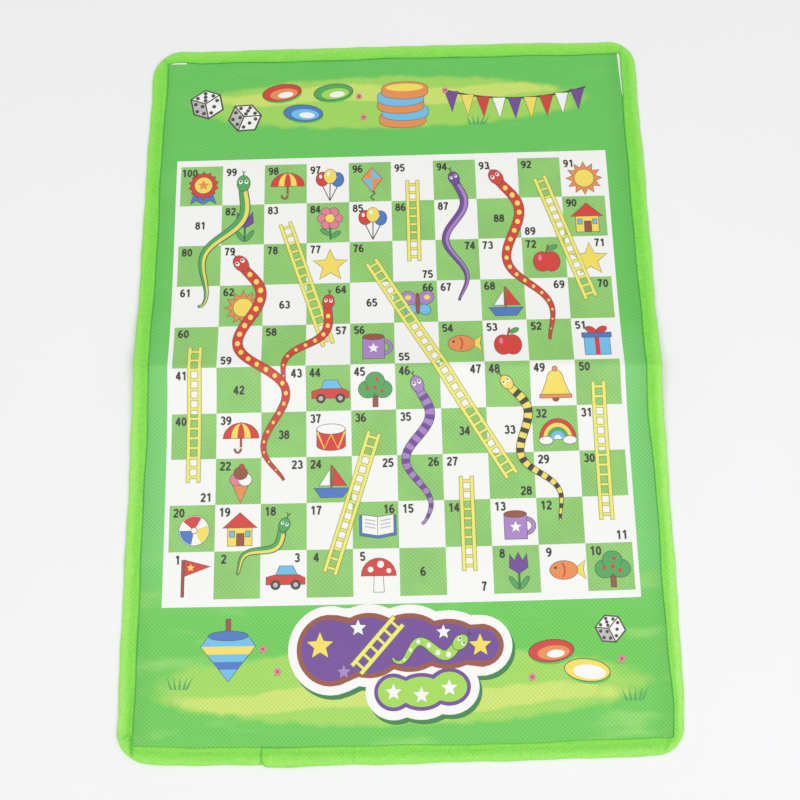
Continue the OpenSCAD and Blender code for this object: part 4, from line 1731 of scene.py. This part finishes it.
def draw_sprig(p):
    """A small pink flower on a tuft."""
    p.stroke([(0.0, 0.0), (-0.5, -0.9)], 0.12, "moss")
    p.stroke([(0.0, 0.0), (0.5, -0.8)], 0.12, "moss")
    for turn in np.arange(5) * TURN / 5:
        p.disc(0.5 * math.cos(turn), 0.5 * math.sin(turn), 0.42, 0.42, "pink", None)
    p.disc(0, 0, 0.3, 0.3, "brown", None)


def draw_tuft(p):
    """A few blades of grass."""
    for x, lean in ((-0.7, -0.5), (-0.3, -0.2), (0.1, 0.1), (0.5, 0.4), (0.8, 0.7)):
        p.fill([(x - 0.14, -0.6), (x + 0.14, -0.6), (x + lean, 0.7)], "leaf", None)


def draw_bunting(p):
    """Flags on a slack string."""
    x = np.linspace(-1.0, 1.0, 25)
    string = np.stack([x, 0.16 * x * x], axis=-1)
    p.stroke(string, 0.014, "line")
    inks = ("purple", "gold", "red", "white", "purple", "gold", "red", "white", "purple")
    for k, ink in enumerate(inks):
        at = -0.88 + 0.22 * k
        top = 0.16 * at * at
        p.fill([(at - 0.09, top), (at + 0.09, top), (at, top - 0.32)], ink)


def draw_stack(p):
    """A leaning stack of counters in two colours."""
    for k in range(5):
        x = 0.1 * math.sin(1.9 * k)
        y = -0.62 + 0.3 * k
        ink = ("orange", "sky")[k % 2]
        p.fill(np.concatenate([bow(x, y, 0.85, 0.26, 180, 360), bow(x, y + 0.2, 0.85, 0.26, 0, 180)]), ink)
    p.disc(0.1 * math.sin(7.6), 0.8, 0.7, 0.16, "gold", None)


def draw_top(p):
    """A spinning top with coloured bands."""
    p.stroke([(0, 0.95), (0, 0.4)], 0.07, "brown", "line")
    p.fill([(0, -0.95), (-0.85, 0.1), (-0.62, 0.42), (0.62, 0.42), (0.85, 0.1)], "sky")
    p.fill([(-0.66, -0.14), (-0.85, 0.1), (0.85, 0.1), (0.66, -0.14)], "gold", None)
    p.fill([(-0.3, -0.6), (-0.48, -0.37), (0.48, -0.37), (0.3, -0.6)], "blue", None)
    p.disc(0, 0.42, 0.62, 0.14, "blue")


def cloud(lobes, grow):
    """One outline round a cluster of ovals: at each angle, a ray's farthest crossing from the middle."""
    angle = np.linspace(0.0, TURN, 150, endpoint=False)[:, None]
    x, y, rx, ry = np.array(lobes, dtype=float).T
    middle = np.array([x.mean(), y.mean()])
    dx, dy = (x - middle[0]) / (rx + grow), (y - middle[1]) / (ry + grow)
    c, s = np.cos(angle) / (rx + grow), np.sin(angle) / (ry + grow)
    a = c * c + s * s
    b = c * dx + s * dy
    inside = b * b - a * (dx * dx + dy * dy - 1.0)
    reach = np.where(inside > 0.0, (b + np.sqrt(np.maximum(inside, 0.0))) / a, 0.0).max(axis=1)
    return middle + reach[:, None] * np.concatenate([np.cos(angle), np.sin(angle)], axis=1)


def draw_plaque(p):
    """Two cloud-shaped plaques, a purple one and a small lime one, with stars, a ladder and a snake."""
    for shape in (SMALL_CLOUD, BIG_CLOUD):
        p.fill(cloud(shape, 0.08) + np.array([0.025, -0.04]), "moss", None)
    for shape in (SMALL_CLOUD, BIG_CLOUD):
        p.fill(cloud(shape, 0.08), "white", None)
    p.fill(cloud(SMALL_CLOUD, 0.0), "purple", None)
    p.fill(cloud(SMALL_CLOUD, -0.035), "lime", None)
    p.fill(cloud(BIG_CLOUD, 0.0), "brown", None)
    p.fill(cloud(BIG_CLOUD, -0.045), "purple", None)
    for x, y, size, ink in STARS:
        p.fill(burst(x, y, size, size * 0.45, 5), ink)
    for x, y in ((-0.06, -0.29), (0.2, -0.32), (0.46, -0.26)):
        p.fill(burst(x, y, 0.08, 0.036, 5), "white", None)
    draw_ladder(p.sheet, p.spot((-0.4, -0.08)), p.spot((0.0, 0.36)), p.layer, 2.4, 0.7)
    p.layer += 5
    spine = snake_spine(p.spot((0.56, 0.14)), p.spot((-0.06, 0.02)), 1.3, 4.2)
    draw_snake(p.sheet, spine, 1.9, "lime", "spots", "white", p.layer)


# Operators


class GAMEMAT_OT_stage(Operator):
    """Makes the pale floor, the soft lights, the world and the camera"""

    bl_idname = "gamemat.stage"
    bl_label = "Stage"

    def execute(self, context):
        scene = context.scene
        scene.view_settings.view_transform = "Standard"
        floor = Finish("pale_floor")
        grain = floor.noise(floor.object_place(), 9.0, 3.0)
        tone = floor.mix(grain, *(linear(*shade) for shade in FLOOR_TONES))
        away = floor.node("ShaderNodeVectorMath", {"operation": "LENGTH"}, {0: floor.object_place()}, 1)
        finish = floor.surface(
            Base_Color=tone, Roughness=0.9, Specular_IOR_Level=0.1,
            Alpha=1.0 - floor.ramp(away, *FLOOR_FADE),
        )
        u = np.linspace(-FLOOR_HALF, FLOOR_HALF, FLOOR_POINTS)
        x, y = np.meshgrid(u, u)
        points = np.stack([x, y, np.full_like(x, FLOOR_Z)], axis=-1)
        plane = make_piece("floor", points, grid_faces(*x.shape).tolist(), [finish], points)

        room = Finish("soft_room", bpy.data.worlds)
        seen = room.node("ShaderNodeLightPath")
        bent = room.math("MAXIMUM", seen.out("Is Glossy Ray"), seen.out("Is Transmission Ray"))
        seen = room.math("MAXIMUM", seen, bent)
        sky = {"Color": (1.0, 1.0, 1.0, 1.0), "Strength": ROOM_LIGHT + seen * (ROOM_SEEN - ROOM_LIGHT)}
        room.node_output(room.node("ShaderNodeBackground", None, sky), "ShaderNodeOutputWorld")
        scene.world = room.material
        for name, place, size, power in LAMPS:
            light = bpy.data.lights.new(name, "AREA")
            light.shape = "DISK"
            light.size = size
            light.energy = power
            holder = bpy.data.objects.new(name, light)
            holder.location = place
            holder.rotation_euler = (-Vector(place)).to_track_quat("-Z", "Y").to_euler()
            scene.collection.objects.link(holder)

        camera = bpy.data.cameras.new("camera")
        camera.sensor_width = SENSOR
        camera.lens = LENS
        camera.clip_start = CLIP_START
        holder = bpy.data.objects.new("camera", camera)
        azimuth = math.radians(CAMERA_AZIMUTH)
        elevation = math.radians(CAMERA_ELEVATION)
        roll = math.radians(CAMERA_ROLL)
        level = math.cos(elevation)
        back = Vector((-math.sin(azimuth) * level, -math.cos(azimuth) * level, math.sin(elevation)))
        right = (-back).cross(Vector((0.0, 0.0, 1.0))).normalized()
        up = right.cross(-back)
        rolled = right * math.cos(roll) + up * math.sin(roll)
        above = up * math.cos(roll) - right * math.sin(roll)
        turned = Matrix((rolled, above, back)).transposed().to_4x4()
        holder.matrix_world = Matrix.Translation(Vector(CAMERA_TARGET) + back * CAMERA_DISTANCE) @ turned
        scene.collection.objects.link(holder)
        scene.camera = holder
        return {"FINISHED"}


class GAMEMAT_OT_sheets(Operator):
    """Makes the printed film and the white cloth under it"""

    bl_idname = "gamemat.sheets"
    bl_label = "Printed face and cloth"

    def execute(self, context):
        film = FILM_T * FILM_SHARE
        face = make_sheet("printed_face", FILM_TOP, film, BRIDGE, *FILM_GRID, print_finish())
        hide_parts("lower_print", "lower_ridge_print", "upper_print", "upper_ridge_print")
        cloth = make_sheet("base_cloth", CLOTH_TOP, CLOTH_T, CLOTH_BRIDGE, *CLOTH_GRID, cloth_finish())
        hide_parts("lower_cloth", "lower_ridge_cloth", "upper_cloth", "upper_ridge_cloth")
        return {"FINISHED"}


class GAMEMAT_OT_binding(Operator):
    """Makes the folded tape round the edge and its lapped end"""

    bl_idname = "gamemat.binding"
    bl_label = "Binding"

    def execute(self, context):
        finish = tape_finish()
        tape = make_binding(finish)
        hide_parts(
            "bottom_binding", "bottom_left_corner_binding", "bottom_right_corner_binding",
            "lower_left_binding", "lower_right_binding",
            "lower_left_ridge_binding", "lower_right_ridge_binding",
            "top_binding", "top_left_corner_binding", "top_right_corner_binding",
            "upper_left_binding", "upper_right_binding",
            "upper_left_ridge_binding", "upper_right_ridge_binding",
        )
        bend_with_fold(tape)
        lap = make_lap(finish)
        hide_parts("binding_lap")
        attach(lap, LOWER)
        return {"FINISHED"}


class GAMEMAT_OT_thread(Operator):
    """Sews the seam on both faces and the tack by the lapped end"""

    bl_idname = "gamemat.thread"
    bl_label = "Thread"

    def execute(self, context):
        half = sizes().thread_width / 2
        finish = thread_finish("thread")
        path = EdgePath()
        ends = seam_bars(path, 0.5)
        bars = [with_height(end, EDGE_T - NEEDLE_SINK + lap_rise(*end.T)) for end in ends]
        needle = make_threads("needle_stitches", *bars, half, NEEDLE_HALF_T, NEEDLE_ARCH, finish)
        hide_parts("lower_needle_stitches", "upper_needle_stitches")
        bars = [with_height(end, BOBBIN_Z) for end in seam_bars(path, 0.0)]
        bobbin = make_threads("bobbin_stitches", *bars, half, BOBBIN_HALF_T, BOBBIN_ARCH, finish)
        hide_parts("lower_bobbin_stitches", "upper_bobbin_stitches")
        for piece in (needle, bobbin):
            bend_with_fold(piece)

        y = np.linspace(TACK_LOW.y, TACK_HIGH.y, TACK_BARS) + TACK_SHIFT[1]
        near = np.stack([np.full(TACK_BARS, TACK_LOW.x + TACK_SHIFT[0]), y], axis=-1)
        far = np.stack([np.full(TACK_BARS, TACK_HIGH.x + TACK_SHIFT[0]), y + TACK_SLANT], axis=-1)
        bars = [with_height(end, EDGE_T + TACK_RISE + lap_rise(*end.T)) for end in (near, far)]
        tack = make_threads("tack_bar", *bars, TACK_HALF, TACK_HALF, TACK_HALF, thread_finish("tack"))
        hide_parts("lap_tack")
        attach(tack, LOWER)
        return {"FINISHED"}


class GAMEMAT_OT_numbers(Operator):
    """Prints the numbers 1 to 100, each in a clear place of its square"""

    bl_idname = "gamemat.numbers"
    bl_label = "Numbers"

    def execute(self, context):
        sheet = Print("number_print")
        busy = busy_spots()
        high = sizes().number_height * MM_PER_M
        for number in range(1, 101):
            draw_number(sheet, number_place(number, busy), number, high)
        sheet.lay()
        return {"FINISHED"}


class GAMEMAT_OT_ladders(Operator):
    """Prints the ladders"""

    bl_idname = "gamemat.ladders"
    bl_label = "Ladders"

    def execute(self, context):
        sheet = Print("ladder_print")
        for foot, top in LADDERS:
            draw_ladder(sheet, square_middle(foot), square_middle(top), LADDER_LAYER)
        sheet.lay()
        return {"FINISHED"}


class GAMEMAT_OT_snakes(Operator):
    """Prints the snakes"""

    bl_idname = "gamemat.snakes"
    bl_label = "Snakes"

    def execute(self, context):
        sheet = Print("snake_print")
        for head, tail, waves, swing, half, body, style, second in SNAKES:
            spine = snake_spine(square_middle(head), square_middle(tail), waves, swing)
            draw_snake(sheet, spine, half, body, style, second, SNAKE_LAYER)
        sheet.lay()
        return {"FINISHED"}


class GAMEMAT_OT_pictures(Operator):
    """Prints the small pictures in the squares"""

    bl_idname = "gamemat.pictures"
    bl_label = "Square pictures"

    def execute(self, context):
        sheet = Print("picture_print")
        for number, draw in PICTURES.items():
            draw(Pen(sheet, *(square_middle(number) + PICTURE_SHIFT), PICTURE_HALF))
        sheet.lay()
        return {"FINISHED"}


class GAMEMAT_OT_border(Operator):
    """Prints the dice, counters, flowers, flags and plaque on the border"""

    bl_idname = "gamemat.border"
    bl_label = "Border pictures"

    def execute(self, context):
        sheet = Print("border_print")
        for x, y, half, turn in DICE:
            draw_die(Pen(sheet, x, y, half), turn)
        for x, y, ink, pale, turn in COUNTERS:
            draw_counter(Pen(sheet, x, y, 9.0, edge=0.3), ink, pale, turn)
        draw_stack(Pen(sheet, 6.0, 126.0, 12.5))
        draw_bunting(Pen(sheet, 58.0, 129.0, 33.0))
        draw_top(Pen(sheet, -70.0, -118.0, 13.0))
        draw_plaque(Pen(sheet, -1.0, -123.2, 43.0))
        for x, y in SPRIGS:
            draw_sprig(Pen(sheet, x, y, 1.7))
        for x, y in TUFTS:
            draw_tuft(Pen(sheet, x, y, 4.0))
        sheet.lay()
        return {"FINISHED"}


class GAMEMAT_PT_panel(Panel):
    """Lists the mat's parts"""

    bl_idname = "GAMEMAT_PT_panel"
    bl_label = "Game mat"
    bl_space_type = "VIEW_3D"
    bl_region_type = "UI"
    bl_category = "Game mat"

    def draw(self, context):
        for made in OPERATORS:
            self.layout.operator(made.bl_idname)
        for group in (context.scene.mat_sizes, context.scene.mat_colours):
            for key in group.__annotations__:
                self.layout.prop(group, key)


OPERATORS = (
    GAMEMAT_OT_stage, GAMEMAT_OT_sheets, GAMEMAT_OT_binding, GAMEMAT_OT_thread, GAMEMAT_OT_numbers,
    GAMEMAT_OT_ladders, GAMEMAT_OT_snakes, GAMEMAT_OT_pictures, GAMEMAT_OT_border,
)
CLASSES = (MatSizes, MatColours, *OPERATORS, GAMEMAT_PT_panel)


def register():
    for made in CLASSES:
        bpy.utils.register_class(made)
    bpy.types.Scene.mat_sizes = PointerProperty(type=MatSizes)
    bpy.types.Scene.mat_colours = PointerProperty(type=MatColours)


def unregister():
    del bpy.types.Scene.mat_colours
    del bpy.types.Scene.mat_sizes
    for made in reversed(CLASSES):
        bpy.utils.unregister_class(made)


def declare_sheets():
    """Looks up the ink pieces and the sewn pieces by name."""
    made = bpy.data.objects
    inks = ("number_print", "ladder_print", "snake_print", "picture_print", "border_print")
    inks = [made[name] for name in inks]
    sewn = ("binding_tape", "lapped_end", "needle_stitches", "bobbin_stitches", "tack_bar")
    sewn = [made[name] for name in sewn]


def main():
    register()
    for made in OPERATORS:
        group, name = made.bl_idname.split(".")
        getattr(getattr(bpy.ops, group), name)()
    declare_sheets()


if __name__ == "__main__":
    main()
